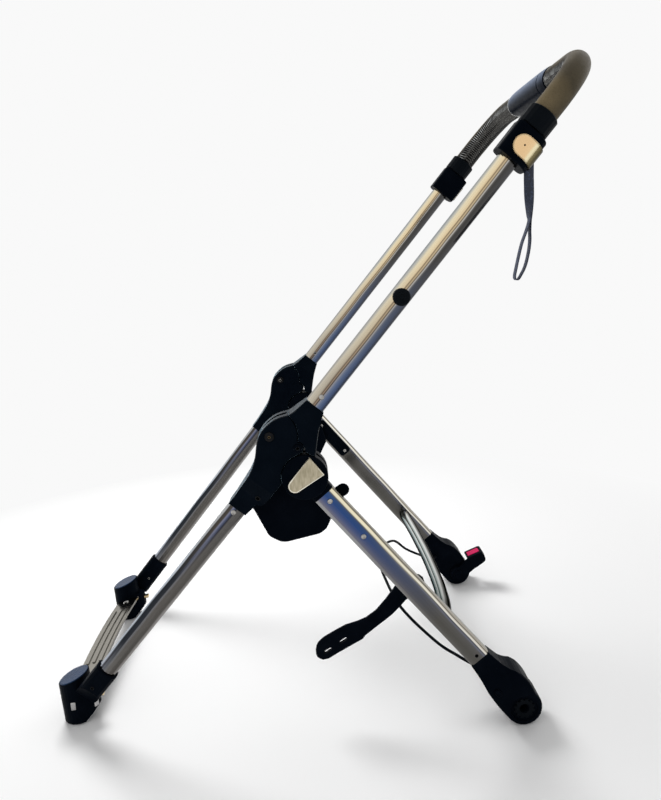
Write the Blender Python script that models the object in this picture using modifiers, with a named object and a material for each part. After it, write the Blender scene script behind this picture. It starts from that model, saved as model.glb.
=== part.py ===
"""Folding stroller chassis with a telescopic handle, standing without its wheels.

Metres, +Z up. X runs across the chassis, -Y is the front and +Y the pusher's side. The origin is
on the floor, at the middle of the footprint. Each side frame is drawn in its side view: a leg's
frame has its local x along the leg, its local y across it and its local z across the chassis.
"""

import math

import bmesh
import bpy
from mathutils import Matrix, Vector

# General clearances
GAP = 0.0003
RUNNING_GAP = 0.0004

# Layout of the side frames
HALF_TRACK = 0.220
FOLD_PIVOT_Y = -0.0487
FOLD_PIVOT_Z = 0.4271
PUSH_ANGLE = 49.35
FRONT_LEG_ANGLE = 229.6
REAR_LEG_ANGLE = -50.7
PIVOT_SPACING = 0.070
PIVOT_LINE_ANGLE = -53.2

# Hinge
HINGE_WIDTH = 0.040
HEAD_RADIUS = 0.012
SEAM_RADIUS = 0.036
TANG_WIDTH = 0.0088
KNUCKLE_RADIUS = 0.030
TONGUE_RADIUS = 0.019
LOCK_BOSS_RADIUS = 0.008
LOCK_HEAD_RADIUS = 0.0055
LOCK_HEAD_HEIGHT = 0.0022
PIVOT_BOLT_RADIUS = 0.004
BOLT_HEAD_RADIUS = 0.0065
BOLT_HEAD_HEIGHT = 0.0018
SPIGOT_LENGTH = 0.034
EDGE_ROUND = 0.0008
HINGE_ROUND = 0.0032

# Push tubes
PUSH_OFFSET = -0.0232
PUSH_TUBE_START = 0.0645
PUSH_TUBE_END = 0.478
PUSH_TUBE_DEPTH = 0.0270
PUSH_TUBE_WIDTH = 0.020
TUBE_WALL = 0.0014

# Front legs and castor housings
FRONT_LEG_OFFSET = 0.0265
FRONT_LEG_INSET = 0.0025
FRONT_LEG_START = 0.1045
FRONT_LEG_LENGTH = 0.3125
FRONT_LEG_TAPER = 5.3
FRONT_LEG_DEPTH = 0.0264
FRONT_LEG_WIDTH = 0.020
FRONT_SLEEVE_DEPTH = 0.0325
FRONT_SLEEVE_WIDTH = 0.026
FRONT_SLEEVE_OVERLAP = 0.030
HOUSING_INSET = 0.033634
HOUSING_FORWARD = 0.057681
HOUSING_DROP = 0.092219
HOUSING_RADIUS = 0.0222
HOUSING_HEIGHT = 0.0655
HOUSING_LEAN = 3.0
HOUSING_TOP_SLOPE = 18.0
HEEL_OFFSET = 0.0165
HEEL_RADIUS = 0.0160
HEEL_HEIGHT = 0.044
HEEL_CHAMFER_START = 0.012
HEEL_CHAMFER = 45.0
CAP_THICKNESS = 0.003
CAP_INSET = 0.0012
STEM_BORE_RADIUS = 0.0065
STEM_BORE_DEPTH = 0.037

# Foot plate between the castor housings
PLATE_DEPTH = 0.037
PLATE_THICKNESS = 0.0035
PLATE_BACK = 0.0052
PLATE_HEIGHT = 0.03544
PLATE_END_INSET = 0.012
PLATE_RISE = 0.007
PLATE_TILT = 14.0
PLATE_RIB_COUNT = 3
PLATE_RIB_PITCH = 0.0105
PLATE_RIB_WIDTH = 0.0042
PLATE_RIB_HEIGHT = 0.0016
PLATE_RIB_LENGTH = 0.210

# Rear legs and hubs
REAR_TUBE_START = 0.036
REAR_TUBE_DEPTH = 0.0305
REAR_TUBE_WIDTH = 0.020
REAR_TUBE_CORNER = 0.0055
HUB_DISTANCE = 0.4461
HUB_NECK = 0.0911
REAR_TUBE_END = HUB_DISTANCE - HUB_NECK
HUB_RADIUS = 0.0257
HUB_WIDTH = 0.045
HUB_ROUND = 0.0036
HUB_RECESS_RADIUS = 0.0193
HUB_RECESS_DEPTH = 0.0022
AXLE_BORE_RADIUS = 0.0065
AXLE_BORE_DEPTH = 0.030
HUB_RING_RADIUS = 0.0145
HUB_RING_TEETH = 12

# Badge plate
BADGE_THICKNESS = 0.0014

# Press tabs
RELEASE_TRAVEL = 0.002
RELEASE_DEPTH = 0.0042
CASTOR_TAB_WIDTH = 0.010
CASTOR_TAB_LENGTH = 0.0045
CASTOR_TAB_HEIGHT = 0.0335
CASTOR_TAB_PROUD = 0.0065
AXLE_TAB_U = -0.0427
AXLE_TAB_V = -0.0118
AXLE_TAB_LENGTH = 0.011
AXLE_TAB_WIDTH = 0.0075
AXLE_TAB_PROUD = 0.0012

# Handle
HANDLE_END = 0.603
HANDLE_CORNER_RADIUS = 0.075
STEM_DEPTH = 0.0222
STEM_WIDTH = 0.0162
STEM_START = 0.300
COLLAR_START = 0.4445
COLLAR_LENGTH = 0.0425
COLLAR_DEPTH = 0.046
COLLAR_WIDTH = 0.035
COLLAR_DROP = 0.0025
COLLAR_ROUND = 0.007
COLLAR_WRAP_ROUND = 0.019
GRIP_RING_RADIUS = 0.0205
GRIP_RING_LENGTH = 0.025
GRIP_START = 0.5085
GRIP_RADIUS = 0.017
SLEEVE_RADIUS = 0.0187
SLEEVE_HALF_LENGTH = 0.085
TRIGGER_LENGTH = 0.026
TRIGGER_THICKNESS = 0.002
TRIGGER_WRAP = 0.003

# Tube bumper
BUMPER_DISTANCE = 0.2378
BUMPER_RADIUS = 0.011
BUMPER_HEIGHT = 0.006

# Rear bow, cable, pedal and latch arm
BOW_RADIUS = 0.0098
BOW_END_GAP = 0.0015
BOW_DISTANCE = 0.291
BOW_BULGE = 0.0265
BOW_RISE = 0.0054
CABLE_RADIUS = 0.0022
CABLE_SEAT_U = -0.055
CABLE_SEAT_V = -0.0105
CABLE_SEAT_DEPTH = 0.006
CABLE_FERRULE_RADIUS = 0.0046
CABLE_FERRULE_REACH = 0.0220
PEDAL_INNER_X = 0.1895
PEDAL_OUTER_X = 0.2245
PEDAL_ARM_THICKNESS = 0.0068
PEDAL_BOSS_RADIUS = 0.008
PEDAL_RING_RADIUS = 0.014
PEDAL_INSERT_SINK = 0.0010
PEDAL_INSERT_THICKNESS = 0.0016
LATCH_THICKNESS = 0.006
LATCH_INNER_X = 0.182
LATCH_PIVOT_DISTANCE = 0.2295
LATCH_PIN_RADIUS = 0.004
LATCH_HEAD_RADIUS = 0.0062
GUARD_INNER_X = 0.188
GUARD_THICKNESS = 0.0045
CATCH_INNER_X = 0.1955
CATCH_THICKNESS = 0.0038
CATCH_PIVOT_Y = 0.0144
CATCH_PIVOT_Z = 0.3236
CATCH_TIP_Y = 0.0425
CATCH_TIP_Z = 0.3390
CATCH_PIN_RADIUS = 0.003

# Wrist strap
STRAP_WIDTH = 0.012
STRAP_THICKNESS = 0.0012
STRAP_STRAIGHT = 0.020
STRAP_TWIST = 0.052
STRAP_TWIST_STEPS = 9
STRAP_SWAY = 0.0012
STRAP_X = 0.2125
STRAP_TOP_Y = 0.2868
STRAP_TOP_Z = 0.7492

STRAP_EYE = (
    (0.0000, 0.0000),
    (-0.0042, -0.0120),
    (-0.0097, -0.0270),
    (-0.0140, -0.0440),
    (-0.0170, -0.0580),
    (-0.0186, -0.0660),
    (-0.0180, -0.0705),
    (-0.0148, -0.0712),
    (-0.0112, -0.0665),
    (-0.0054, -0.0550),
    (-0.0012, -0.0380),
    (0.0004, -0.0240),
    (0.0002, -0.0120),
    (0.0000, 0.0000),
)

LEFT, RIGHT = 1, -1
SIDES = ((LEFT, "left"), (RIGHT, "right"))


# Scene, collections and materials
def clear_scene():
    for obj in list(bpy.data.objects):
        bpy.data.objects.remove(obj, do_unlink=True)


def new_collection(name):
    collection = bpy.data.collections.new(name)
    bpy.context.scene.collection.children.link(collection)
    return collection


def make_material(name, color, roughness, metallic):
    material = bpy.data.materials.new(name)
    material.use_nodes = True
    shader = material.node_tree.nodes["Principled BSDF"]
    shader.inputs["Base Color"].default_value = (*color, 1.0)
    shader.inputs["Roughness"].default_value = roughness
    shader.inputs["Metallic"].default_value = metallic
    material.diffuse_color = (*color, 1.0)
    return material


clear_scene()
PARTS = new_collection("stroller_chassis")
CUTTERS = new_collection("cutters")
MATERIALS = {
    "chrome": make_material("polished_tube", (0.78, 0.77, 0.75), 0.12, 1.0),
    "aluminium": make_material("satin_aluminium", (0.70, 0.70, 0.71), 0.35, 1.0),
    "plastic": make_material("black_plastic", (0.012, 0.013, 0.016), 0.42, 0.0),
    "gloss": make_material("gloss_black_plastic", (0.02, 0.024, 0.032), 0.12, 0.0),
    "steel": make_material("zinc_steel", (0.55, 0.55, 0.56), 0.30, 1.0),
    "champagne": make_material("champagne_metal", (0.72, 0.62, 0.42), 0.22, 1.0),
    "leather": make_material("brown_leatherette", (0.075, 0.058, 0.045), 0.45, 0.0),
    "satin": make_material("satin_black_sleeve", (0.02, 0.022, 0.027), 0.30, 0.0),
    "crimson": make_material("crimson_insert", (0.42, 0.02, 0.07), 0.40, 0.0),
    "rubber": make_material("black_rubber", (0.015, 0.015, 0.016), 0.65, 0.0),
    "webbing": make_material("black_webbing", (0.018, 0.018, 0.022), 0.80, 0.0),
}


# Frames and small geometry helpers
def rotation_x(degrees):
    return Matrix.Rotation(math.radians(degrees), 4, "X")


def frame_matrix(origin, along, across):
    """A right-handed frame with its local x along a leg and its local y across it."""
    along = Vector(along).normalized()
    across = Vector(across)
    across = (across - across.dot(along) * along).normalized()
    lateral = along.cross(across)
    matrix = Matrix.Identity(4)
    for column, axis in enumerate((along, across, lateral)):
        matrix.col[column] = (*axis, 0.0)
    matrix.translation = Vector(origin)
    return matrix


def side_frame(y, z, degrees, x=0.0):
    """The frame of a leg that lies in the side view at this angle from +Y."""
    angle = math.radians(degrees)
    along = (0.0, math.cos(angle), math.sin(angle))
    across = (0.0, -math.sin(angle), math.cos(angle))
    return frame_matrix((x, y, z), along, across)


def polar(radius, degrees):
    return radius * math.cos(math.radians(degrees)), radius * math.sin(math.radians(degrees))


def arc(center, radius, start, end, steps):
    """Points on an arc from one angle to another, in degrees."""
    points = []
    for step in range(steps + 1):
        du, dv = polar(radius, start + (end - start) * step / steps)
        points.append((center[0] + du, center[1] + dv))
    return points


def smooth_line(points, steps):
    """Points on a smooth curve through the given ones, which stay on it."""
    result = []
    for index in range(len(points) - 1):
        before = Vector(points[max(index - 1, 0)])
        start = Vector(points[index])
        end = Vector(points[index + 1])
        after = Vector(points[min(index + 2, len(points) - 1)])
        for step in range(steps):
            t = step / steps
            linear = (end - before) * t
            square = (2 * before - 5 * start + 4 * end - after) * t * t
            cube = (3 * start - before - 3 * end + after) * t ** 3
            result.append(tuple((2 * start + linear + square + cube) / 2))
    result.append(tuple(points[-1]))
    return result


def rounded_rectangle(width, height, radius, steps=3, center=(0.0, 0.0)):
    """A rectangle with round corners, anticlockwise."""
    radius = min(radius, width / 2 - 1e-5, height / 2 - 1e-5)
    points = []
    for quarter in range(4):
        sign_u = 1 if quarter in (0, 3) else -1
        sign_v = 1 if quarter in (0, 1) else -1
        corner = (
            center[0] + sign_u * (width / 2 - radius),
            center[1] + sign_v * (height / 2 - radius),
        )
        points += arc(corner, radius, 90 * quarter, 90 * quarter + 90, steps)
    return points


def span(side, inner, outer):
    """Lowest and highest x of a layer of this side, from its distances to the middle."""
    return (inner, outer) if side == LEFT else (-outer, -inner)


# Objects
def register(obj, collection, parent):
    """Puts the object in its collection, under the empty that carries it."""
    world = obj.matrix_world.copy()
    collection.objects.link(obj)
    if parent is not None:
        obj.parent = parent
        obj.matrix_parent_inverse = parent.matrix_basis.inverted()
    obj.matrix_basis = world
    if collection == CUTTERS:
        obj.hide_render = True
        obj.display_type = "WIRE"
    return obj


def make_empty(name, location, parent=None):
    empty = bpy.data.objects.new(name, None)
    empty.empty_display_size = 0.02
    empty.matrix_world = Matrix.Translation(location)
    return register(empty, PARTS, parent)


def from_bmesh(name, mesh_data, matrix, collection, parent):
    mesh = bpy.data.meshes.new(name)
    bmesh.ops.recalc_face_normals(mesh_data, faces=mesh_data.faces)
    mesh_data.to_mesh(mesh)
    mesh_data.free()
    obj = bpy.data.objects.new(name, mesh)
    obj.matrix_world = matrix
    return register(obj, collection, parent)


def mesh_of_curve(curve_object):
    """The curve's evaluated mesh with its caps welded and its flat faces joined."""
    bpy.context.scene.collection.objects.link(curve_object)
    graph = bpy.context.evaluated_depsgraph_get()
    mesh = bpy.data.meshes.new_from_object(curve_object.evaluated_get(graph))
    data = bmesh.new()
    data.from_mesh(mesh)
    bmesh.ops.remove_doubles(data, verts=data.verts, dist=1e-6)
    bmesh.ops.dissolve_limit(
        data, angle_limit=math.radians(0.05), verts=data.verts, edges=data.edges
    )
    bpy.data.meshes.remove(mesh)
    bpy.data.objects.remove(curve_object, do_unlink=True)
    return data


def prism(name, loops, low, high, matrix, collection=None, parent=None):
    """A flat outline, with any holes, extruded along the frame's local z."""
    curve = bpy.data.curves.new(name, "CURVE")
    curve.dimensions = "2D"
    curve.fill_mode = "BOTH"
    curve.extrude = (high - low) / 2
    for loop in loops:
        spline = curve.splines.new("POLY")
        spline.points.add(len(loop) - 1)
        for point, place in zip(spline.points, loop):
            point.co = (place[0], place[1], 0.0, 1.0)
        spline.use_cyclic_u = True
    data = mesh_of_curve(bpy.data.objects.new(name, curve))
    world = matrix @ Matrix.Translation((0.0, 0.0, (low + high) / 2))
    return from_bmesh(name, data, world, collection or PARTS, parent)


def along_leg(matrix):
    """The frame whose local z runs along the leg, for a section that is extruded along it."""
    turned = Matrix.Identity(4)
    turned.col[0], turned.col[1], turned.col[2] = matrix.col[1], matrix.col[2], matrix.col[0]
    turned.translation = matrix.translation
    return turned


def tube(name, matrix, start, end, depth, width, corner, parent, wall=TUBE_WALL):
    """A hollow tube of flat oval section along a leg's frame."""
    loops = [
        rounded_rectangle(depth, width, corner),
        rounded_rectangle(depth - 2 * wall, width - 2 * wall, corner - wall)[::-1],
    ]
    return prism(name, loops, start, end, along_leg(matrix), PARTS, parent)


def bar(name, matrix, start, end, depth, width, corner, collection=None, parent=None, steps=3):
    """A solid bar of flat oval section along a leg's frame."""
    loops = [rounded_rectangle(depth, width, corner, steps)]
    return prism(name, loops, start, end, along_leg(matrix), collection, parent)


def cylinder(name, radius, low, high, matrix, sides=32, collection=None, parent=None):
    """A round bar along the frame's local z."""
    data = bmesh.new()
    bmesh.ops.create_cone(
        data, cap_ends=True, segments=sides, radius1=radius, radius2=radius, depth=high - low
    )
    world = matrix @ Matrix.Translation((0.0, 0.0, (low + high) / 2))
    return from_bmesh(name, data, world, collection or PARTS, parent)


def block(name, low, high, matrix, collection=None, parent=None):
    """A box between two corners of the frame."""
    data = bmesh.new()
    bmesh.ops.create_cube(data, size=1.0)
    size = Vector(high) - Vector(low)
    bmesh.ops.scale(data, vec=size, verts=data.verts)
    middle = (Vector(high) + Vector(low)) / 2
    world = matrix @ Matrix.Translation(middle)
    return from_bmesh(name, data, world, collection or PARTS, parent)


def turned(name, profile, matrix, steps=32, collection=None, parent=None):
    """A profile of (radius, height) points, from the outside top round to the inside, turned
    about the frame's local z. A closed ring profile has no point on the axis."""
    data = bmesh.new()
    points = [data.verts.new((radius, 0.0, height)) for radius, height in profile]
    on_axis = profile[0][0] == 0.0
    for first, second in zip(points, points[1:]):
        data.edges.new((first, second))
    if not on_axis:
        data.edges.new((points[-1], points[0]))
    mesh = bpy.data.meshes.new(name)
    data.to_mesh(mesh)
    data.free()
    obj = bpy.data.objects.new(name, mesh)
    obj.matrix_world = matrix
    register(obj, collection or PARTS, parent)
    screw = obj.modifiers.new("turn", "SCREW")
    screw.axis = "Z"
    screw.steps = steps
    screw.render_steps = steps
    screw.use_merge_vertices = True
    screw.merge_threshold = 1e-6
    return obj


def sweep(name, points, radius, matrix, resolution=3, collection=None, parent=None, section=None):
    """A round or oval bar along points in the frame's local XY plane or in space."""
    curve = bpy.data.curves.new(name, "CURVE")
    curve.dimensions = "3D"
    curve.twist_mode = "Z_UP"
    curve.use_fill_caps = True
    guide = None
    if section is None:
        curve.bevel_depth = radius
        curve.bevel_resolution = resolution
    else:
        outline = bpy.data.curves.new(name + "_section", "CURVE")
        outline.dimensions = "2D"
        outline.fill_mode = "NONE"
        loop = outline.splines.new("POLY")
        loop.points.add(len(section) - 1)
        for point, place in zip(loop.points, section):
            point.co = (place[0], place[1], 0.0, 1.0)
        loop.use_cyclic_u = True
        guide = bpy.data.objects.new(name + "_section", outline)
        bpy.context.scene.collection.objects.link(guide)
        curve.bevel_mode = "OBJECT"
        curve.bevel_object = guide
    spline = curve.splines.new("POLY")
    spline.points.add(len(points) - 1)
    for point, place in zip(spline.points, points):
        x, y, z = (*place, 0.0)[:3]
        point.co = (x, y, z, 1.0)
    data = mesh_of_curve(bpy.data.objects.new(name, curve))
    if guide is not None:
        bpy.data.objects.remove(guide, do_unlink=True)
    return from_bmesh(name, data, matrix, collection or PARTS, parent)


# Modifiers and finish
def boolean(target, cutter, operation="DIFFERENCE"):
    modifier = target.modifiers.new(operation.lower(), "BOOLEAN")
    modifier.operation = operation
    modifier.object = cutter
    modifier.solver = "EXACT"
    return target


def round_edges(obj, width=EDGE_ROUND, segments=2, angle=32.0):
    """Rounds the edges that are sharper than this angle."""
    modifier = obj.modifiers.new("round", "BEVEL")
    modifier.width = width
    modifier.segments = segments
    modifier.limit_method = "ANGLE"
    modifier.angle_limit = math.radians(angle)
    return obj


def round_rims(obj, width, segments=2):
    """Rounds the rims of an extruded piece's two end faces, and leaves its sides as drawn."""
    mesh = obj.data
    heights = [vertex.co.z for vertex in mesh.vertices]
    low, high = min(heights), max(heights)
    weights = mesh.attributes.new("bevel_weight_edge", "FLOAT", "EDGE")
    for edge in mesh.edges:
        ends = [heights[index] for index in edge.vertices]
        if max(ends) < low + 1e-6 or min(ends) > high - 1e-6:
            weights.data[edge.index].value = 1.0
    modifier = obj.modifiers.new("round_rims", "BEVEL")
    modifier.width = width
    modifier.segments = segments
    modifier.limit_method = "WEIGHT"
    return obj


def finish(obj, material):
    """Gives the piece its material and shades its round faces smooth."""
    obj.data.materials.clear()
    obj.data.materials.append(MATERIALS[material])
    obj.data.shade_smooth()
    obj.data.set_sharp_from_angle(angle=math.radians(35.0))
    return obj


# Shared frames
FLAT = Matrix.Identity(4)
FOLD_PIVOT = Vector((0.0, FOLD_PIVOT_Y, FOLD_PIVOT_Z))
REAR_PIVOT_LOCAL = polar(PIVOT_SPACING, PIVOT_LINE_ANGLE - PUSH_ANGLE)
PUSH_FRAME = side_frame(FOLD_PIVOT_Y, FOLD_PIVOT_Z, PUSH_ANGLE)
REAR_PIVOT = PUSH_FRAME @ Vector((*REAR_PIVOT_LOCAL, 0.0))
REAR_FRAME = side_frame(REAR_PIVOT.y, REAR_PIVOT.z, REAR_LEG_ANGLE)
HUB_CENTER = REAR_FRAME @ Vector((HUB_DISTANCE, 0.0, 0.0))
HUB_FRAME = side_frame(HUB_CENTER.y, HUB_CENTER.z, REAR_LEG_ANGLE)
HINGE_INNER = HALF_TRACK - HINGE_WIDTH / 2
HINGE_OUTER = HALF_TRACK + HINGE_WIDTH / 2
SLOT_HALF = TANG_WIDTH / 2 + RUNNING_GAP
LOCK_PLACE = (0.0100, -0.0372)


def push_tube_frame(side):
    """Local x along the push tube's axis, with its start at the foot of the fold pivot."""
    origin = PUSH_FRAME @ Vector((0.0, PUSH_OFFSET, side * HALF_TRACK))
    return side_frame(origin.y, origin.z, PUSH_ANGLE, origin.x)


def front_leg_frame(side):
    """Local x down the front leg, which draws in towards the castor housing."""
    fold = side_frame(FOLD_PIVOT_Y, FOLD_PIVOT_Z, FRONT_LEG_ANGLE)
    top = fold @ Vector((FRONT_LEG_START, FRONT_LEG_OFFSET, side * (HALF_TRACK - FRONT_LEG_INSET)))
    inward = math.sin(math.radians(FRONT_LEG_TAPER))
    down = fold.to_3x3() @ Vector((1.0, 0.0, 0.0))
    down = down * math.cos(math.radians(FRONT_LEG_TAPER)) + Vector((-side * inward, 0.0, 0.0))
    return frame_matrix(top, down, fold.to_3x3() @ Vector((0.0, 1.0, 0.0)))


def rear_leg_frame(side):
    return side_frame(REAR_PIVOT.y, REAR_PIVOT.z, REAR_LEG_ANGLE, side * HALF_TRACK)


def hub_frame(side):
    return side_frame(HUB_CENTER.y, HUB_CENTER.z, REAR_LEG_ANGLE, side * HALF_TRACK)


# Empties on the joint axes
CHASSIS = make_empty("chassis_origin", (0.0, 0.0, 0.0))
FOLD_AXIS = make_empty("fold_axis", FOLD_PIVOT, CHASSIS)
REAR_AXIS = make_empty("rear_leg_axis", REAR_PIVOT, CHASSIS)
HANDLE_SLIDE = make_empty("handle_slide_axis", PUSH_FRAME @ Vector((STEM_START, PUSH_OFFSET, 0.0)), FOLD_AXIS)


# Hinge: root side
def hinge_outline():
    """Outline of the fixed hinge body in the push frame, from the seam round to the head."""
    seam = arc((0.0, 0.0), SEAM_RADIUS, -3.0, -55.0, 6)
    lock_boss = arc(LOCK_PLACE, LOCK_BOSS_RADIUS, 35.0, -110.0, 6)
    rear_arc = arc(REAR_PIVOT_LOCAL, KNUCKLE_RADIUS + GAP + 0.0003, 74.0, 144.0, 6)
    half = FRONT_LEG_DEPTH / 2
    screw_boss = arc((-0.0750, -0.0405), 0.0095, -75.0, -170.0, 3)
    end = -FRONT_LEG_START
    past = end - 0.004
    leg_end = [(past, -FRONT_LEG_OFFSET - half), (past, -FRONT_LEG_OFFSET + half)]
    left = smooth_line(
        [
            (end + 0.015, -FRONT_LEG_OFFSET + half + 0.0004),
            (-0.0565, -0.0100),
            (-0.0395, -0.0050),
            (-0.0282, 0.0007),
            (-0.0162, 0.0079),
            (-0.0010, HEAD_RADIUS),
            (0.0180, 0.0092),
            (0.0290, 0.0034),
        ],
        2,
    )
    return seam + lock_boss + rear_arc + screw_boss + leg_end + left


def hinge_plan(side):
    """Outline in plan: full width at the pivots, drawn in to the tube at the front leg."""
    inner, outer = HINGE_INNER, HINGE_OUTER
    end = -FRONT_LEG_START
    leg_x = HALF_TRACK - FRONT_LEG_INSET
    half = FRONT_LEG_WIDTH / 2
    points = [(0.08, inner), (0.08, outer), (-0.058, outer), (-0.078, leg_x + half + 0.004)]
    points += [(end, leg_x + half), (end - 0.01, leg_x + half), (end - 0.01, leg_x - half)]
    points += [(end, leg_x - half), (-0.078, leg_x - half - 0.004), (-0.058, inner)]
    return [(u, side * x) for u, x in points]


def plan_matrix():
    """Local x along the push direction, local y across the chassis, local z down through it."""
    along = PUSH_FRAME.to_3x3() @ Vector((1.0, 0.0, 0.0))
    return frame_matrix(FOLD_PIVOT, along, (1.0, 0.0, 0.0))


def pivot_hole(name, center, side, radius=PIVOT_BOLT_RADIUS + GAP):
    low, high = span(side, HINGE_INNER - 0.01, HINGE_OUTER + 0.01)
    matrix = Matrix.Translation((0.0, center[1], center[2])) @ Matrix.Rotation(math.pi / 2, 4, "Y")
    return cylinder(name, radius, low, high, matrix, 12, CUTTERS)


def lateral_matrix(center):
    """Local z across the chassis, towards +X, at a point of the side view."""
    return side_frame(center[1], center[2], 0.0)


def make_hinge_body(side, label):
    name = "hinge_body_" + label
    low, high = span(side, HINGE_INNER, HINGE_OUTER)
    body = prism(name, [hinge_outline()], low, high, PUSH_FRAME, PARTS, CHASSIS)
    round_rims(body, HINGE_ROUND)
    plan = prism(name + "_plan", [hinge_plan(side)], -0.15, 0.15, plan_matrix(), CUTTERS)
    boolean(body, plan, "INTERSECT")
    leg = front_leg_frame(side)
    boolean(body, block(name + "_end", (0.0, -0.1, -0.1), (0.1, 0.1, 0.1), leg, CUTTERS))
    slot_low, slot_high = span(side, HALF_TRACK - SLOT_HALF, HALF_TRACK + SLOT_HALF)
    sector = [(0.0, 0.0)] + arc((0.0, 0.0), SEAM_RADIUS + 0.004, -61.5, 190.5, 10)
    boolean(body, prism(name + "_sector", [sector], slot_low, slot_high, PUSH_FRAME, CUTTERS))
    boss = cylinder(name + "_slot", HEAD_RADIUS + 0.0012, slot_low, slot_high, PUSH_FRAME, 16, CUTTERS)
    boolean(body, boss)
    tongue_low, tongue_high = span(side, HALF_TRACK - TANG_WIDTH / 2, HALF_TRACK + TANG_WIDTH / 2)
    tongue = arc(REAR_PIVOT_LOCAL, TONGUE_RADIUS, 160.0, 400.0, 8)
    tongue += [(-0.0020, -0.0400), (-0.0060, -0.0300), (-0.0280, -0.0300), (-0.0330, -0.0430)]
    tongue_piece = prism(name + "_tongue", [tongue], tongue_low, tongue_high, PUSH_FRAME, CUTTERS)
    boolean(body, tongue_piece, "UNION")
    depth = FRONT_LEG_DEPTH - 2 * TUBE_WALL - 2 * GAP
    width = FRONT_LEG_WIDTH - 2 * TUBE_WALL - 2 * GAP
    spigot = bar(name + "_spigot", leg, -0.012, SPIGOT_LENGTH, depth, width, width / 2, CUTTERS, None, 2)
    boolean(body, spigot, "UNION")
    boolean(body, pivot_hole(name + "_fold_hole", FOLD_PIVOT, side))
    boolean(body, pivot_hole(name + "_rear_hole", REAR_PIVOT, side))
    lock = lateral_matrix(PUSH_FRAME @ Vector((*LOCK_PLACE, 0.0)))
    pocket = span(side, HINGE_OUTER - 0.0032, HINGE_OUTER + 0.01)
    boolean(body, cylinder(name + "_lock_pocket", LOCK_HEAD_RADIUS + GAP, *pocket, lock, 12, CUTTERS))
    return finish(body, "plastic")


def make_fold_bolt(side, label):
    """Bolt of the fold pivot: a dome head outside, a shaft and a flat head inside."""
    name = "fold_pivot_bolt_" + label
    return finish(pivot_bolt(name, FOLD_PIVOT, side, HINGE_INNER - GAP, HINGE_OUTER + GAP), "steel")


def pivot_bolt(name, center, side, inner, outer):
    """A turned bolt whose heads sit just off the two faces that it holds together."""
    head = BOLT_HEAD_RADIUS
    shaft = PIVOT_BOLT_RADIUS
    top = outer + BOLT_HEAD_HEIGHT
    bottom = inner - BOLT_HEAD_HEIGHT * 0.7
    profile = [
        (0.0, top),
        (head * 0.62, top - BOLT_HEAD_HEIGHT * 0.12),
        (head * 0.9, top - BOLT_HEAD_HEIGHT * 0.45),
        (head, outer),
        (shaft, outer),
        (shaft, inner),
        (head, inner),
        (head * 0.9, bottom),
        (0.0, bottom),
    ]
    matrix = lateral_matrix(center)
    if side == RIGHT:
        matrix = matrix @ Matrix.Rotation(math.pi, 4, "X")
    return turned(name, profile, matrix, 12, PARTS, CHASSIS)


def make_rear_bolt(side, label):
    """Bolt of the rear leg's pivot, with both heads sunk under the knuckle's faces."""
    name = "rear_pivot_bolt_" + label
    sunk = BOLT_HEAD_HEIGHT + 2 * GAP
    inner, outer = HINGE_INNER + sunk, HINGE_OUTER - sunk
    return finish(pivot_bolt(name, REAR_PIVOT, side, inner, outer), "steel")


def make_lock_bolt(side, label):
    """Round head of the fold lock's bolt, in the lobe at the end of the seam."""
    name = "fold_lock_bolt_" + label
    top = LOCK_HEAD_HEIGHT
    radius = LOCK_HEAD_RADIUS
    profile = [
        (0.0, top - 0.0009),
        (radius * 0.35, top - 0.0009),
        (radius * 0.45, top),
        (radius * 0.85, top),
        (radius, top - 0.0007),
        (radius, -0.0026),
        (0.0, -0.0026),
    ]
    center = PUSH_FRAME @ Vector((*LOCK_PLACE, 0.0))
    matrix = side_frame(center.y, center.z, 0.0, side * HINGE_OUTER)
    if side == RIGHT:
        matrix = matrix @ Matrix.Rotation(math.pi, 4, "X")
    return finish(turned(name, profile, matrix, 12, PARTS, CHASSIS), "plastic")


def make_guard(side, label):
    """Inner guard panel: a moulded plate on two bosses, behind and below the hinge."""
    name = "hinge_guard_" + label
    low, high = span(side, GUARD_INNER_X, GUARD_INNER_X + GUARD_THICKNESS)
    outline = smooth_line([(-0.0719, 0.3562), (-0.0816, 0.3261), (-0.0770, 0.3129), (-0.0621, 0.2805)], 2)
    outline += smooth_line([(-0.0591, 0.2763), (-0.0447, 0.2679), (-0.0340, 0.2676)], 2)
    outline += smooth_line([(0.0081, 0.2762), (0.0176, 0.2826), (0.0234, 0.2937)], 2)
    outline += smooth_line([(0.0306, 0.3073), (0.0233, 0.3372), (0.0009, 0.3670)], 2)
    plate = prism(name, [outline], low, high, side_frame(0.0, 0.0, 0.0), PARTS, CHASSIS)
    round_rims(plate, 0.0014, 1)
    for index, (y, z) in enumerate(((-0.0637, 0.3383), (-0.0099, 0.3529))):
        reach = span(side, GUARD_INNER_X + 0.002, HINGE_INNER - GAP)
        boss = cylinder(f"{name}_boss_{index}", 0.006, *reach, side_frame(y, z, 0.0), 12, CUTTERS)
        boolean(plate, boss, "UNION")
    if side == LEFT:
        reach = (GUARD_INNER_X + 0.002, CATCH_INNER_X + CATCH_THICKNESS)
        pin_frame = side_frame(CATCH_PIVOT_Y, CATCH_PIVOT_Z, 0.0)
        pin = cylinder(name + "_pin", CATCH_PIN_RADIUS, *reach, pin_frame, 12, CUTTERS)
        boolean(plate, pin, "UNION")
        washer = (GUARD_INNER_X + 0.002, CATCH_INNER_X - GAP)
        boolean(plate, cylinder(name + "_washer", 0.0055, *washer, pin_frame, 12, CUTTERS), "UNION")
    return finish(plate, "plastic")


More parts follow.
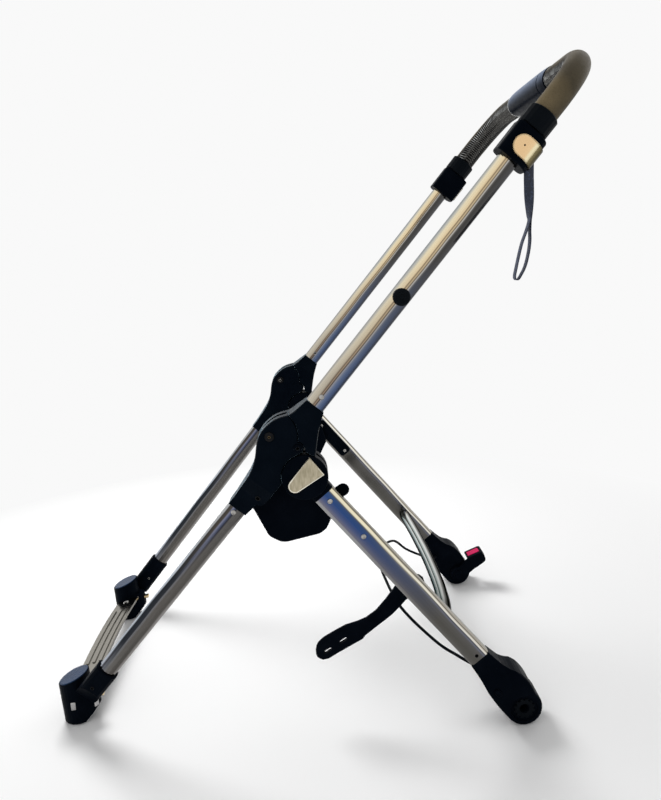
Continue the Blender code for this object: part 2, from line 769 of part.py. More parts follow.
# Front legs, castor housings and foot plate
def make_front_leg(side, label):
    leg = tube(
        "front_leg_tube_" + label,
        front_leg_frame(side),
        GAP,
        FRONT_LEG_LENGTH + FRONT_SLEEVE_OVERLAP,
        FRONT_LEG_DEPTH,
        FRONT_LEG_WIDTH,
        FRONT_LEG_WIDTH / 2,
        CHASSIS,
    )
    return finish(leg, "chrome")


def housing_frame(side):
    """Local z up the castor housing's axis, local x across the chassis, from the leg's end."""
    leg_end = front_leg_frame(side) @ Vector((FRONT_LEG_LENGTH, 0.0, 0.0))
    foot = leg_end - Vector((side * HOUSING_INSET, HOUSING_FORWARD, HOUSING_DROP))
    return Matrix.Translation(foot) @ rotation_x(HOUSING_LEAN)


def sheared_cylinder(name, radius, low, high, slope, matrix, collection, parent, both):
    """A round bar whose top, or top and bottom, slope down towards the front."""
    obj = cylinder(name, radius, low, high, matrix, 28, collection, parent)
    middle = (high - low) / 2
    for vertex in obj.data.vertices:
        if vertex.co.z > 0 or both:
            vertex.co.z += vertex.co.y * math.tan(math.radians(slope))
    return obj


def heel_outline(extra=0.0):
    """Outline of the housing's heel from above, or of the space round it."""
    half = HOUSING_RADIUS - 0.0008 + extra
    return arc((0.0, HEEL_OFFSET), HEEL_RADIUS + extra, 0.0, 180.0, 8) + [(-half, 0.0), (half, 0.0)]


def make_front_socket(side, label):
    """Castor housing with its leg sleeve, its slanted top and its stem bore."""
    name = "front_socket_" + label
    frame = housing_frame(side)
    top = HOUSING_HEIGHT
    body = sheared_cylinder(
        name, HOUSING_RADIUS, 0.0, top, HOUSING_TOP_SLOPE, frame, PARTS, CHASSIS, False
    )
    round_rims(body, 0.0022)
    leg = front_leg_frame(side)
    sleeve = bar(
        name + "_sleeve",
        leg,
        FRONT_LEG_LENGTH,
        FRONT_LEG_LENGTH + 0.066,
        FRONT_SLEEVE_DEPTH,
        FRONT_SLEEVE_WIDTH,
        0.010,
        CUTTERS,
    )
    round_rims(sleeve, 0.0014, 1)
    wedge_frame = frame_matrix(
        leg.translation, leg.to_3x3() @ Vector((1.0, 0.0, 0.0)), leg.to_3x3() @ Vector((0.0, 0.0, side))
    )
    reach = FRONT_LEG_LENGTH
    wedge = [(reach + 0.036, 0.0135), (reach + 0.068, -0.0080), (reach + 0.09, -0.0080), (reach + 0.05, 0.03)]
    boolean(sleeve, prism(name + "_wedge", [wedge], -0.05, 0.05, wedge_frame, CUTTERS))
    boolean(body, sleeve, "UNION")
    heel = prism(name + "_heel", [heel_outline()], -0.002, HEEL_HEIGHT, frame, CUTTERS)
    round_rims(heel, 0.0025, 1)
    boolean(body, heel, "UNION")
    floor = block(name + "_floor", (-0.1, -0.1, -0.2), (0.1, 0.1, 0.0), frame, CUTTERS)
    boolean(body, floor)
    chamfer_frame = frame @ Matrix.Translation((0.0, HEEL_CHAMFER_START, 0.0)) @ rotation_x(HEEL_CHAMFER)
    chamfer = block(name + "_chamfer", (-0.1, 0.0, -0.1), (0.1, 0.1, 0.0), chamfer_frame, CUTTERS)
    boolean(body, chamfer)
    pocket = bar(
        name + "_pocket",
        leg,
        FRONT_LEG_LENGTH - 0.02,
        FRONT_LEG_LENGTH + FRONT_SLEEVE_OVERLAP + GAP,
        FRONT_LEG_DEPTH + 2 * GAP,
        FRONT_LEG_WIDTH + 2 * GAP,
        FRONT_LEG_WIDTH / 2 + GAP,
        CUTTERS,
    )
    boolean(body, pocket)
    bore = cylinder(name + "_bore", STEM_BORE_RADIUS, -0.01, STEM_BORE_DEPTH, frame, 12, CUTTERS)
    boolean(body, bore)
    low, high = castor_tab_box(RUNNING_GAP, RELEASE_DEPTH + RELEASE_TRAVEL + GAP, 0.01)
    boolean(body, block(name + "_tab_pocket", low, high, frame, CUTTERS))
    seat = sheared_cylinder(
        name + "_cap_seat",
        HOUSING_RADIUS - CAP_INSET,
        top - 0.0018,
        top + 0.02,
        HOUSING_TOP_SLOPE,
        frame,
        CUTTERS,
        None,
        True,
    )
    boolean(body, seat)
    return finish(body, "plastic")


def make_socket_cap(side, label):
    """Glossy oval cap in the slanted top of the castor housing."""
    low = HOUSING_HEIGHT - 0.0018 + GAP
    cap = sheared_cylinder(
        "socket_cap_" + label,
        HOUSING_RADIUS - CAP_INSET - GAP,
        low,
        low + CAP_THICKNESS,
        HOUSING_TOP_SLOPE,
        housing_frame(side),
        PARTS,
        CHASSIS,
        True,
    )
    round_rims(cap, 0.0009, 1)
    return finish(cap, "gloss")


def make_foot_plate():
    """Arched foot plate with long raised ribs, between the two castor housings."""
    name = "foot_plate"
    foot = housing_frame(LEFT).translation
    half = foot.x - PLATE_END_INSET
    middle = (0.0, foot.y + PLATE_BACK, foot.z + PLATE_HEIGHT)
    curve_frame = Matrix.Translation(middle) @ rotation_x(PLATE_TILT)
    upright = curve_frame @ rotation_x(90.0)
    steps = 10
    top, bottom = [], []
    for step in range(steps + 1):
        x = half * (2 * step / steps - 1)
        rise = PLATE_RISE * (1 - (x / half) ** 2)
        bottom.append((x, rise))
        top.append((x, rise + PLATE_THICKNESS))
    outline = bottom + top[::-1]
    plate = prism(name, [outline], -PLATE_DEPTH / 2, PLATE_DEPTH / 2, upright, PARTS, CHASSIS)
    for index in range(PLATE_RIB_COUNT):
        offset = (index - (PLATE_RIB_COUNT - 1) / 2) * PLATE_RIB_PITCH
        low, high = -offset - PLATE_RIB_WIDTH / 2, -offset + PLATE_RIB_WIDTH / 2
        rib_top = [(x, z + PLATE_RIB_HEIGHT) for x, z in top if abs(x) < PLATE_RIB_LENGTH / 2]
        rib_bottom = [(x, z - PLATE_THICKNESS / 2) for x, z in top if abs(x) < PLATE_RIB_LENGTH / 2]
        rib = prism(f"{name}_rib_{index}", [rib_bottom + rib_top[::-1]], low, high, upright, CUTTERS)
        boolean(plate, rib, "UNION")
    for side, label in SIDES:
        clear = cylinder(
            f"{name}_end_{label}", HOUSING_RADIUS + GAP, -0.05, 0.15, housing_frame(side), 28, CUTTERS
        )
        boolean(plate, clear)
        heel = prism(f"{name}_heel_{label}", [heel_outline(GAP)], -0.05, 0.15, housing_frame(side), CUTTERS)
        boolean(plate, heel)
    return finish(plate, "aluminium")


def castor_tab_box(extra, depth, proud):
    """Corners of the release tab's box in the housing's frame, or of the pocket round it."""
    half = CASTOR_TAB_WIDTH / 2 + extra
    tall = CASTOR_TAB_LENGTH / 2 + extra
    face = HEEL_OFFSET + HEEL_RADIUS
    low = (-half, face - depth, CASTOR_TAB_HEIGHT - tall)
    high = (half, face + proud, CASTOR_TAB_HEIGHT + tall)
    return low, high


def make_castor_release(side, label):
    """Spring tab low on the back of the castor housing that frees the castor."""
    name = "castor_release_" + label
    frame = housing_frame(side)
    place = frame @ Vector((0.0, HEEL_OFFSET + HEEL_RADIUS, CASTOR_TAB_HEIGHT))
    axis = make_empty(name + "_axis", place, CHASSIS)
    low, high = castor_tab_box(0.0, RELEASE_DEPTH, CASTOR_TAB_PROUD)
    tab = block(name, low, high, frame, PARTS, axis)
    round_edges(tab, EDGE_ROUND, 1)
    return finish(tab, "champagne")


# Push frame
def make_push_knuckle(side, label):
    """Moving half of the fold hinge: a block outside the seam, on a tang to the pivot."""
    name = "push_knuckle_" + label
    half = PUSH_TUBE_DEPTH / 2
    top = PUSH_OFFSET + half
    bottom = PUSH_OFFSET - half
    outline = [(0.0100, -0.0250), (0.0200, -0.0020)]
    outline += smooth_line([(0.0340, -0.0018), (0.0450, -0.0052), (PUSH_TUBE_START, top)], 2)
    under = [(PUSH_TUBE_START, bottom), (0.0480, -0.0430), (0.0300, -0.0530), (0.0128, -0.0635)]
    outline += smooth_line(under, 2)
    outline += [(0.0118, -0.0480), (0.0150, -0.0452), LOCK_PLACE]
    low, high = span(side, HINGE_INNER, HINGE_OUTER)
    body = prism(name, [outline], low, high, PUSH_FRAME, PARTS, FOLD_AXIS)
    round_rims(body, HINGE_ROUND)
    tube_low = HALF_TRACK - PUSH_TUBE_WIDTH / 2
    tube_high = HALF_TRACK + PUSH_TUBE_WIDTH / 2
    plan_points = [(-0.05, HINGE_INNER), (-0.05, HINGE_OUTER), (0.044, HINGE_OUTER)]
    plan_points += [(0.059, tube_high + 0.0025), (PUSH_TUBE_START, tube_high), (0.075, tube_high)]
    plan_points += [(0.075, tube_low), (PUSH_TUBE_START, tube_low), (0.059, tube_low - 0.0025)]
    plan_points += [(0.044, HINGE_INNER)]
    plan_loop = [(u, side * x) for u, x in plan_points]
    plan = prism(name + "_plan", [plan_loop], -0.15, 0.15, plan_matrix(), CUTTERS)
    boolean(body, plan, "INTERSECT")
    through = span(side, HINGE_INNER - 0.01, HINGE_OUTER + 0.01)
    seam = cylinder(name + "_seam", SEAM_RADIUS + 2 * GAP, *through, PUSH_FRAME, 40, CUTTERS)
    boolean(body, seam)
    lock_frame = PUSH_FRAME @ Matrix.Translation((*LOCK_PLACE, 0.0))
    boolean(body, cylinder(name + "_lock", LOCK_BOSS_RADIUS + 2 * GAP, *through, lock_frame, 20, CUTTERS))
    rear_frame = PUSH_FRAME @ Matrix.Translation((*REAR_PIVOT_LOCAL, 0.0))
    boolean(body, cylinder(name + "_rear", KNUCKLE_RADIUS + 3 * GAP, *through, rear_frame, 32, CUTTERS))
    tang = arc((0.0, 0.0), HEAD_RADIUS, 10.0, 302.0, 10)
    tang += [polar(0.0400, -58.0), (0.0450, -0.0100), (0.0360, -0.0015)]
    tang_span = span(side, HALF_TRACK - TANG_WIDTH / 2, HALF_TRACK + TANG_WIDTH / 2)
    boolean(body, prism(name + "_tang", [tang], *tang_span, PUSH_FRAME, CUTTERS), "UNION")
    depth = PUSH_TUBE_DEPTH - 2 * TUBE_WALL - 2 * GAP
    width = PUSH_TUBE_WIDTH - 2 * TUBE_WALL - 2 * GAP
    start, end = PUSH_TUBE_START - 0.012, PUSH_TUBE_START + SPIGOT_LENGTH
    leg = push_tube_frame(side)
    spigot = bar(name + "_spigot", leg, start, end, depth, width, width / 2, CUTTERS, None, 2)
    boolean(body, spigot, "UNION")
    boolean(body, pivot_hole(name + "_hole", FOLD_PIVOT, side))
    return finish(body, "plastic")


def make_push_tube(side, label):
    push = tube(
        "push_tube_" + label,
        push_tube_frame(side),
        PUSH_TUBE_START + GAP,
        PUSH_TUBE_END,
        PUSH_TUBE_DEPTH,
        PUSH_TUBE_WIDTH,
        PUSH_TUBE_WIDTH / 2,
        FOLD_AXIS,
    )
    return finish(push, "chrome")


def make_bumper(side, label):
    """Round bumper on the outer face of the push tube, with two recessed rings."""
    name = "tube_bumper_" + label
    frame = push_tube_frame(side) @ Matrix.Translation((BUMPER_DISTANCE, 0.0, 0.0))
    if side == RIGHT:
        frame = frame @ Matrix.Rotation(math.pi, 4, "X")
    base = PUSH_TUBE_WIDTH / 2 - 0.004
    top = PUSH_TUBE_WIDTH / 2 + BUMPER_HEIGHT
    radius = BUMPER_RADIUS
    groove = 0.0009
    profile = [
        (0.0, top - 2 * groove),
        (radius * 0.28, top - 2 * groove),
        (radius * 0.34, top - groove),
        (radius * 0.58, top - groove),
        (radius * 0.62, top),
        (radius * 0.88, top),
        (radius, top - 0.0014),
        (radius, base),
        (0.0, base),
    ]
    body = turned(name, profile, frame, 20, PARTS, FOLD_AXIS)
    saddle = bar(
        name + "_saddle",
        push_tube_frame(side),
        BUMPER_DISTANCE - 0.03,
        BUMPER_DISTANCE + 0.03,
        PUSH_TUBE_DEPTH + 2 * GAP,
        PUSH_TUBE_WIDTH + 2 * GAP,
        PUSH_TUBE_WIDTH / 2 + GAP,
        CUTTERS,
    )
    boolean(body, saddle)
    return finish(body, "rubber")


def collar_section(side, offset=0.0):
    """Section of the collar across its bore, widest round at its outer lower corner."""
    half = COLLAR_WIDTH / 2
    low, high = -COLLAR_DROP - COLLAR_DEPTH / 2, -COLLAR_DROP + COLLAR_DEPTH / 2
    corners = (
        (high, half, COLLAR_ROUND, 0.0),
        (low, half, COLLAR_WRAP_ROUND, 90.0),
        (low, -half, COLLAR_ROUND, 180.0),
        (high, -half, COLLAR_ROUND, 270.0),
    )
    points = []
    for v, x, radius, start in corners:
        center = (v - math.copysign(radius, v), x - math.copysign(radius, x))
        steps = 6 if radius == COLLAR_WRAP_ROUND else 3
        points += arc(center, radius + offset, start, start + 90.0, steps)
    return [(v, side * x) for v, x in points]


def make_collar(side, label):
    """Collar on the push tube's top end, bored for the tube and for the handle's stem."""
    name = "collar_" + label
    frame = push_tube_frame(side)
    end = COLLAR_START + COLLAR_LENGTH
    section = collar_section(side)
    body = prism(name, [section], COLLAR_START, end, along_leg(frame), PARTS, FOLD_AXIS)
    round_rims(body, 0.0018)
    tube_bore = bar(
        name + "_tube_bore",
        frame,
        COLLAR_START - 0.01,
        PUSH_TUBE_END + GAP,
        PUSH_TUBE_DEPTH + 2 * GAP,
        PUSH_TUBE_WIDTH + 2 * GAP,
        PUSH_TUBE_WIDTH / 2 + GAP,
        CUTTERS,
    )
    boolean(body, tube_bore)
    depth, width = STEM_DEPTH + 2 * RUNNING_GAP, STEM_WIDTH + 2 * RUNNING_GAP
    stem_bore = bar(name + "_stem_bore", frame, COLLAR_START, end + 0.01, depth, width, width / 2, CUTTERS)
    boolean(body, stem_bore)
    if side == LEFT:
        reach = STRAP_THICKNESS + RUNNING_GAP
        half = STRAP_WIDTH / 2 + RUNNING_GAP
        low = (STRAP_X - reach, STRAP_TOP_Y - half, STRAP_TOP_Z - 0.05)
        high = (STRAP_X + reach, STRAP_TOP_Y + half, STRAP_TOP_Z + GAP)
        boolean(body, block(name + "_strap_slot", low, high, FLAT, CUTTERS))
    return finish(body, "plastic")


def make_fold_trigger(side, label):
    """Slide plate on the collar: it is round outside and wraps down to the underside."""
    name = "fold_trigger_" + label
    frame = push_tube_frame(side)
    start = COLLAR_START + 0.0065
    radius = TRIGGER_LENGTH / 2
    middle = start + radius
    axis = make_empty(name + "_axis", frame @ Vector((middle, 0.0, 0.0)), FOLD_AXIS)
    loops = [collar_section(side, GAP + TRIGGER_THICKNESS), collar_section(side, GAP)[::-1]]
    plate = prism(name, loops, start - 0.002, start + TRIGGER_LENGTH + 0.002, along_leg(frame), PARTS, axis)
    under = -COLLAR_DROP - COLLAR_DEPTH / 2 - TRIGGER_THICKNESS - 0.01
    outline = arc((middle, -0.0015), radius, 0.0, 180.0, 12)
    outline += [(start, under), (start + TRIGGER_LENGTH, under)]
    reach = span(side, -TRIGGER_WRAP, COLLAR_WIDTH)
    boolean(plate, prism(name + "_outline", [outline], *reach, frame, CUTTERS), "INTERSECT")
    return finish(plate, "champagne")


# Handle
def handle_points(start, stop_x, side=LEFT):
    """Centre line of half the handle in the handle's plane: up the stem, round the corner and
    along the crossbar to this distance from the middle."""
    corner = (HALF_TRACK - HANDLE_CORNER_RADIUS, HANDLE_END - HANDLE_CORNER_RADIUS)
    points = []
    if start < corner[1]:
        points.append((HALF_TRACK, start))
    points += arc(corner, HANDLE_CORNER_RADIUS, 0.0, 90.0, 8)
    points.append((stop_x, HANDLE_END))
    return [(side * x, u) for x, u in points]


def handle_matrix():
    """Local x across the chassis, local y up the stems, local z square to the handle's plane."""
    origin = PUSH_FRAME @ Vector((0.0, PUSH_OFFSET, 0.0))
    across = PUSH_FRAME.to_3x3() @ Vector((1.0, 0.0, 0.0))
    return frame_matrix(origin, (1.0, 0.0, 0.0), across)


def stem_section(extra=0.0):
    return rounded_rectangle(STEM_WIDTH + 2 * extra, STEM_DEPTH + 2 * extra, STEM_WIDTH / 2 + extra, 2)


def make_handle_bar():
    left = handle_points(STEM_START, 0.0, LEFT)[:-1]
    right = handle_points(STEM_START, 0.0, RIGHT)[:-1]
    points = left + right[::-1]
    obj = sweep("handle_bar", points, 0.0, handle_matrix(), 0, PARTS, HANDLE_SLIDE, stem_section())
    return finish(obj, "chrome")


def make_grip(side, label):
    """Leatherette grip over the corner of the handle, from its ring to the centre sleeve."""
    name = "grip_" + label
    points = handle_points(GRIP_START, SLEEVE_HALF_LENGTH + GAP, side)
    grip = sweep(name, points, GRIP_RADIUS, handle_matrix(), 2, PARTS, HANDLE_SLIDE)
    core_points = handle_points(GRIP_START - 0.02, SLEEVE_HALF_LENGTH - 0.02, side)
    core = sweep(name + "_core", core_points, 0.0, handle_matrix(), 0, CUTTERS, None, stem_section(GAP))
    boolean(grip, core)
    return finish(grip, "leather")


def make_handle_sleeve():
    """Smooth centre sleeve of the crossbar, a little fatter than the grips."""
    middle = handle_matrix() @ Matrix.Translation((0.0, HANDLE_END, 0.0))
    frame = middle @ Matrix.Rotation(math.pi / 2, 4, "Y")
    bore = STEM_DEPTH / 2 + GAP
    half = SLEEVE_HALF_LENGTH
    outer = [(GRIP_RADIUS - 0.001, half), (GRIP_RADIUS + 0.0004, half - 0.0012)]
    outer += [(SLEEVE_RADIUS, half - 0.012), (SLEEVE_RADIUS + 0.0004, 0.0)]
    mirrored = [(radius, -height) for radius, height in outer[:-1][::-1]]
    profile = outer + mirrored + [(bore, -half), (bore, half)]
    return finish(turned("handle_sleeve", profile, frame, 20, PARTS, HANDLE_SLIDE), "satin")


def make_grip_ring(side, label):
    """Cup at the lower end of the grip, which it holds in a shallow lip."""
    name = "grip_ring_" + label
    base = COLLAR_START + COLLAR_LENGTH + GAP
    top = base + GRIP_RING_LENGTH
    frame = along_leg(push_tube_frame(side))
    bore = STEM_DEPTH / 2 + GAP
    lip = GRIP_RADIUS + GAP
    radius = GRIP_RING_RADIUS
    seat = GRIP_START - GAP
    profile = [(radius - 0.0012, top), (radius, top - 0.0012), (radius, base + 0.0015)]
    profile += [(radius - 0.0015, base), (bore, base), (bore, seat), (lip, seat), (lip, top)]
    return finish(turned(name, profile, frame, 20, PARTS, HANDLE_SLIDE), "plastic")


# Rear frame
def make_rear_knuckle(side, label):
    """Fork of two cheek discs over the hinge body's tongue, with the rear tube's spigot."""
    name = "rear_knuckle_" + label
    frame = rear_leg_frame(side)
    half_width = HINGE_WIDTH / 2
    body = cylinder(name, KNUCKLE_RADIUS, -half_width, half_width, frame, 32, PARTS, REAR_AXIS)
    round_rims(body, 0.0020)
    sleeve = bar(
        name + "_sleeve",
        frame,
        0.0205,
        REAR_TUBE_START,
        REAR_TUBE_DEPTH,
        REAR_TUBE_WIDTH + 0.002,
        REAR_TUBE_CORNER,
        CUTTERS,
    )
    boolean(body, sleeve, "UNION")
    slot = SLOT_HALF
    clear = cylinder(name + "_slot", TONGUE_RADIUS + 0.004, -slot, slot, frame, 16, CUTTERS)
    boolean(body, clear)
    back_low = (-KNUCKLE_RADIUS - 0.01, -KNUCKLE_RADIUS - 0.01, -slot)
    back_high = (0.0205, KNUCKLE_RADIUS + 0.01, slot)
    boolean(body, block(name + "_back", back_low, back_high, frame, CUTTERS))
    depth = REAR_TUBE_DEPTH - 2 * TUBE_WALL - 2 * GAP
    width = REAR_TUBE_WIDTH - 2 * TUBE_WALL - 2 * GAP
    end = REAR_TUBE_START + SPIGOT_LENGTH
    corner = REAR_TUBE_CORNER - TUBE_WALL
    spigot = bar(name + "_spigot", frame, 0.0300, end, depth, width, corner, CUTTERS, None, 1)
    boolean(body, spigot, "UNION")
    boolean(body, pivot_hole(name + "_hole", REAR_PIVOT, side))
    sunk = BOLT_HEAD_HEIGHT + 2 * GAP
    for index, (low, high) in enumerate(((-0.03, sunk - half_width), (half_width - sunk, 0.03))):
        counterbore = cylinder(
            f"{name}_counterbore_{index}", BOLT_HEAD_RADIUS + GAP, low, high, frame, 12, CUTTERS
        )
        boolean(body, counterbore)
    return finish(body, "plastic")


def make_badge_plate(side, label):
    """Bare metal plate across the rear knuckle, wide at the top and round at the bottom."""
    name = "badge_plate_" + label
    frame = rear_leg_frame(side)
    outline = arc((-0.0005, -0.0165), 0.0088, 190.0, 350.0, 10)
    outline += [(0.0130, 0.0215), (-0.0165, 0.0225)]
    base = HINGE_WIDTH / 2 + GAP
    low, high = span(side, base, base + BADGE_THICKNESS)
    plate = prism(name, [outline], low, high, frame, PARTS, REAR_AXIS)
    return finish(plate, "champagne")


def make_rear_leg(side, label):
    leg = tube(
        "rear_leg_tube_" + label,
        rear_leg_frame(side),
        REAR_TUBE_START + GAP,
        REAR_TUBE_END,
        REAR_TUBE_DEPTH,
        REAR_TUBE_WIDTH,
        REAR_TUBE_CORNER,
        REAR_AXIS,
    )
    return finish(leg, "chrome")


def make_leg_bracket(side, label):
    """Strap bracket riveted to the inner face of the rear leg, just below the hinge."""
    name = "rear_leg_bracket_" + label
    frame = rear_leg_frame(side)
    outer = REAR_TUBE_WIDTH / 2 + GAP
    outline = rounded_rectangle(0.080, 0.022, 0.006, 4, (0.080, 0.0))
    low, high = span(side, -outer - 0.003, -outer)
    if side == RIGHT:
        low, high = outer, outer + 0.003
    plate = prism(name, [outline], low, high, frame, PARTS, REAR_AXIS)
    round_rims(plate, 0.0008, 1)
    return finish(plate, "plastic")


def cable_seat(side, depth):
    """A point on the axis of the hub's cable ferrule, this far inside its mouth."""
    across = side * (depth - CABLE_FERRULE_REACH)
    return hub_frame(side) @ Vector((CABLE_SEAT_U, CABLE_SEAT_V, across))


def make_rear_hub(side, label):
    """Rear hub: a moulded foot that takes the wheel's axle, below its leg tube's spigot."""
    name = "rear_hub_" + label
    frame = hub_frame(side)
    half = REAR_TUBE_DEPTH / 2
    start = REAR_TUBE_END + GAP - HUB_DISTANCE
    upper = smooth_line(
        [(-0.0050, 0.0255), (-0.0160, 0.0285), (-0.0270, 0.0300), (-0.0400, 0.0295), (-0.0500, 0.0262)], 2
    )
    upper += smooth_line([(-0.0560, 0.0225), (-0.0680, 0.0180), (start, half)], 2)
    lower = smooth_line(
        [(start, -half), (-0.0700, -0.0180), (-0.0480, -0.0225), (-0.0250, -0.0250), (-0.0080, -0.0256)], 2
    )
    outline = upper + lower + arc((0.0, 0.0), HUB_RADIUS, -98.0, 92.0, 12)
    width = HUB_WIDTH / 2
    body = prism(name, [outline], -width, width, frame, PARTS, REAR_AXIS)
    round_rims(body, HUB_ROUND)
    tube_half = REAR_TUBE_WIDTH / 2
    plan_points = [(0.05, -width), (0.05, width), (-0.040, width), (-0.066, tube_half + 0.0035)]
    plan_points += [(start, tube_half), (start - 0.02, tube_half), (start - 0.02, -tube_half)]
    plan_points += [(start, -tube_half), (-0.066, -tube_half - 0.0035), (-0.040, -width)]
    plan_frame = frame_matrix(
        frame.translation, frame.to_3x3() @ Vector((1.0, 0.0, 0.0)), (1.0, 0.0, 0.0)
    )
    plan = prism(name + "_plan", [plan_points], -0.1, 0.1, plan_frame, CUTTERS)
    boolean(body, plan, "INTERSECT")
    outer = side * width
    recess = sorted((outer - side * HUB_RECESS_DEPTH, outer + side * 0.01))
    boolean(body, cylinder(name + "_recess", HUB_RECESS_RADIUS, *recess, frame, 24, CUTTERS))
    bore = sorted((outer - side * AXLE_BORE_DEPTH, outer + side * 0.01))
    boolean(body, cylinder(name + "_bore", AXLE_BORE_RADIUS, *bore, frame, 12, CUTTERS))
    pocket = span(side, width - RELEASE_DEPTH - RELEASE_TRAVEL - GAP, width + 0.01)
    tab_outline = axle_tab_outline(RUNNING_GAP)
    boolean(body, prism(name + "_tab_pocket", [tab_outline], *pocket, frame, CUTTERS))
    ferrule_frame = frame @ Matrix.Translation((CABLE_SEAT_U, CABLE_SEAT_V, 0.0))
    ferrule = sorted((-side * CABLE_FERRULE_REACH, -side * (REAR_TUBE_WIDTH / 2 - 0.002)))
    boolean(
        body, cylinder(name + "_ferrule", CABLE_FERRULE_RADIUS, *ferrule, ferrule_frame, 12, CUTTERS), "UNION"
    )
    entry = sorted((-side * (CABLE_FERRULE_REACH + 0.01), -side * (CABLE_FERRULE_REACH - CABLE_SEAT_DEPTH)))
    entry_radius = CABLE_RADIUS + GAP
    boolean(body, cylinder(name + "_cable_entry", entry_radius, *entry, ferrule_frame, 10, CUTTERS))
    if side == RIGHT:
        boss = span(side, PEDAL_INNER_X - HALF_TRACK - 0.0012, 0.001 - width)
        boolean(body, cylinder(name + "_boss", PEDAL_BOSS_RADIUS, *boss, frame, 20, CUTTERS), "UNION")
    depth = REAR_TUBE_DEPTH - 2 * TUBE_WALL - 2 * GAP
    spigot_width = REAR_TUBE_WIDTH - 2 * TUBE_WALL - 2 * GAP
    spigot = bar(
        name + "_spigot",
        frame,
        start - SPIGOT_LENGTH,
        start + 0.010,
        depth,
        spigot_width,
        REAR_TUBE_CORNER - TUBE_WALL,
        CUTTERS,
        None,
        1,
    )
    boolean(body, spigot, "UNION")
    return finish(body, "plastic")


def make_hub_ring(side, label):
    """Toothed ring round the axle bore, which the wheel's hub docks onto."""
    name = "hub_ring_" + label
    frame = hub_frame(side)
    outline = []
    for tooth in range(HUB_RING_TEETH):
        base = 360.0 * tooth / HUB_RING_TEETH
        pitch = 360.0 / HUB_RING_TEETH
        for offset, radius in (
            (0.0, HUB_RING_RADIUS),
            (0.5, HUB_RING_RADIUS),
            (0.5, HUB_RING_RADIUS - 0.0022),
            (1.0, HUB_RING_RADIUS - 0.0022),
        ):
            outline.append(polar(radius, base + offset * pitch))
    hole = arc((0.0, 0.0), AXLE_BORE_RADIUS + 0.0006, 360.0, 30.0, 11)
    floor = HUB_WIDTH / 2 - HUB_RECESS_DEPTH + GAP
    low, high = span(side, floor, floor + 0.0016)
    ring = prism(name, [outline, hole], low, high, frame, PARTS, REAR_AXIS)
    return finish(ring, "plastic")


def axle_tab_outline(extra=0.0):
    """Outline of the press tab on the hub, or of the pocket round it."""
    length, width = AXLE_TAB_LENGTH + 2 * extra, AXLE_TAB_WIDTH + 2 * extra
    return rounded_rectangle(length, width, 0.0028 + extra, 3, (AXLE_TAB_U, AXLE_TAB_V))


def make_axle_release(side, label):
    """Small press tab on the hub's outer face that frees the wheel's axle."""
    name = "axle_release_" + label
    frame = hub_frame(side)
    place = frame @ Vector((AXLE_TAB_U, AXLE_TAB_V, side * HUB_WIDTH / 2))
    axis = make_empty(name + "_axis", place, REAR_AXIS)
    low, high = span(side, HUB_WIDTH / 2 - RELEASE_DEPTH, HUB_WIDTH / 2 + AXLE_TAB_PROUD)
    tab = prism(name, [axle_tab_outline()], low, high, frame, PARTS, axis)
    round_rims(tab, EDGE_ROUND, 1)
    return finish(tab, "plastic")


def pedal_outline():
    """Outline of the pedal's pad in the side view, from the hub's centre."""
    corners = ((0.0185, 0.0315), (0.0500, 0.0440), (0.0565, 0.0245), (0.0310, 0.0070))
    points = []
    for index, corner in enumerate(corners):
        here = Vector(corner)
        before = (Vector(corners[index - 1]) - here).normalized()
        after = (Vector(corners[(index + 1) % 4]) - here).normalized()
        cut = 0.0050 if index else 0.0025
        points += [tuple(here + reach * cut) for reach in (before, (before + after) * 0.28, after)]
    return points


def hub_side_frame():
    return side_frame(HUB_CENTER.y, HUB_CENTER.z, 0.0)


def make_brake_pedal():
    """Foot brake pedal: a ring round the hub's inner boss, an arm and a wide pad behind."""
    name = "brake_pedal"
    frame = hub_side_frame()
    axis = make_empty(name + "_axis", HUB_CENTER + Vector((-PEDAL_INNER_X, 0.0, 0.0)), REAR_AXIS)
    arm = arc((0.0, 0.0), PEDAL_RING_RADIUS, 80.0, 325.0, 12)
    arm += [(0.0340, 0.0110), (0.0500, 0.0230), (0.0460, 0.0370), (0.0200, 0.0290)]
    low, high = span(RIGHT, PEDAL_INNER_X, PEDAL_INNER_X + PEDAL_ARM_THICKNESS)
    body = prism(name, [arm], low, high, frame, PARTS, axis)
    pad_low, pad_high = span(RIGHT, PEDAL_INNER_X - 0.0006, PEDAL_OUTER_X)
    pad = prism(name + "_pad", [pedal_outline()], pad_low, pad_high, frame, CUTTERS)
    round_rims(pad, 0.0030)
    boolean(body, pad, "UNION")
    hole = cylinder(
        name + "_hole", PEDAL_BOSS_RADIUS + RUNNING_GAP, low - 0.01, high + 0.01, frame, 20, CUTTERS
    )
    boolean(body, hole)
    boolean(body, insert_box(name + "_recess", GAP, GAP, 0.01, CUTTERS, None))
    return finish(body, "plastic")


def insert_box(name, side_gap, under_gap, above, collection, parent):
    """The insert's place on the pad's sloping top, or the recess round it."""
    corners = pedal_outline()
    start, end = Vector(corners[2]), Vector(corners[3])
    along = end - start
    middle = (start + end) / 2
    degrees = math.degrees(math.atan2(along.y, along.x))
    origin = hub_side_frame() @ Vector((middle.x, middle.y, 0.0))
    frame = side_frame(origin.y, origin.z, degrees)
    half = along.length * 0.44
    center = -(PEDAL_INNER_X + PEDAL_OUTER_X) / 2
    width = (PEDAL_OUTER_X - PEDAL_INNER_X) * 0.24
    low = (-half - side_gap, -PEDAL_INSERT_SINK - under_gap, center - width - side_gap)
    high = (half + side_gap, PEDAL_INSERT_THICKNESS - PEDAL_INSERT_SINK + above, center + width + side_gap)
    return block(name, low, high, frame, collection, parent)


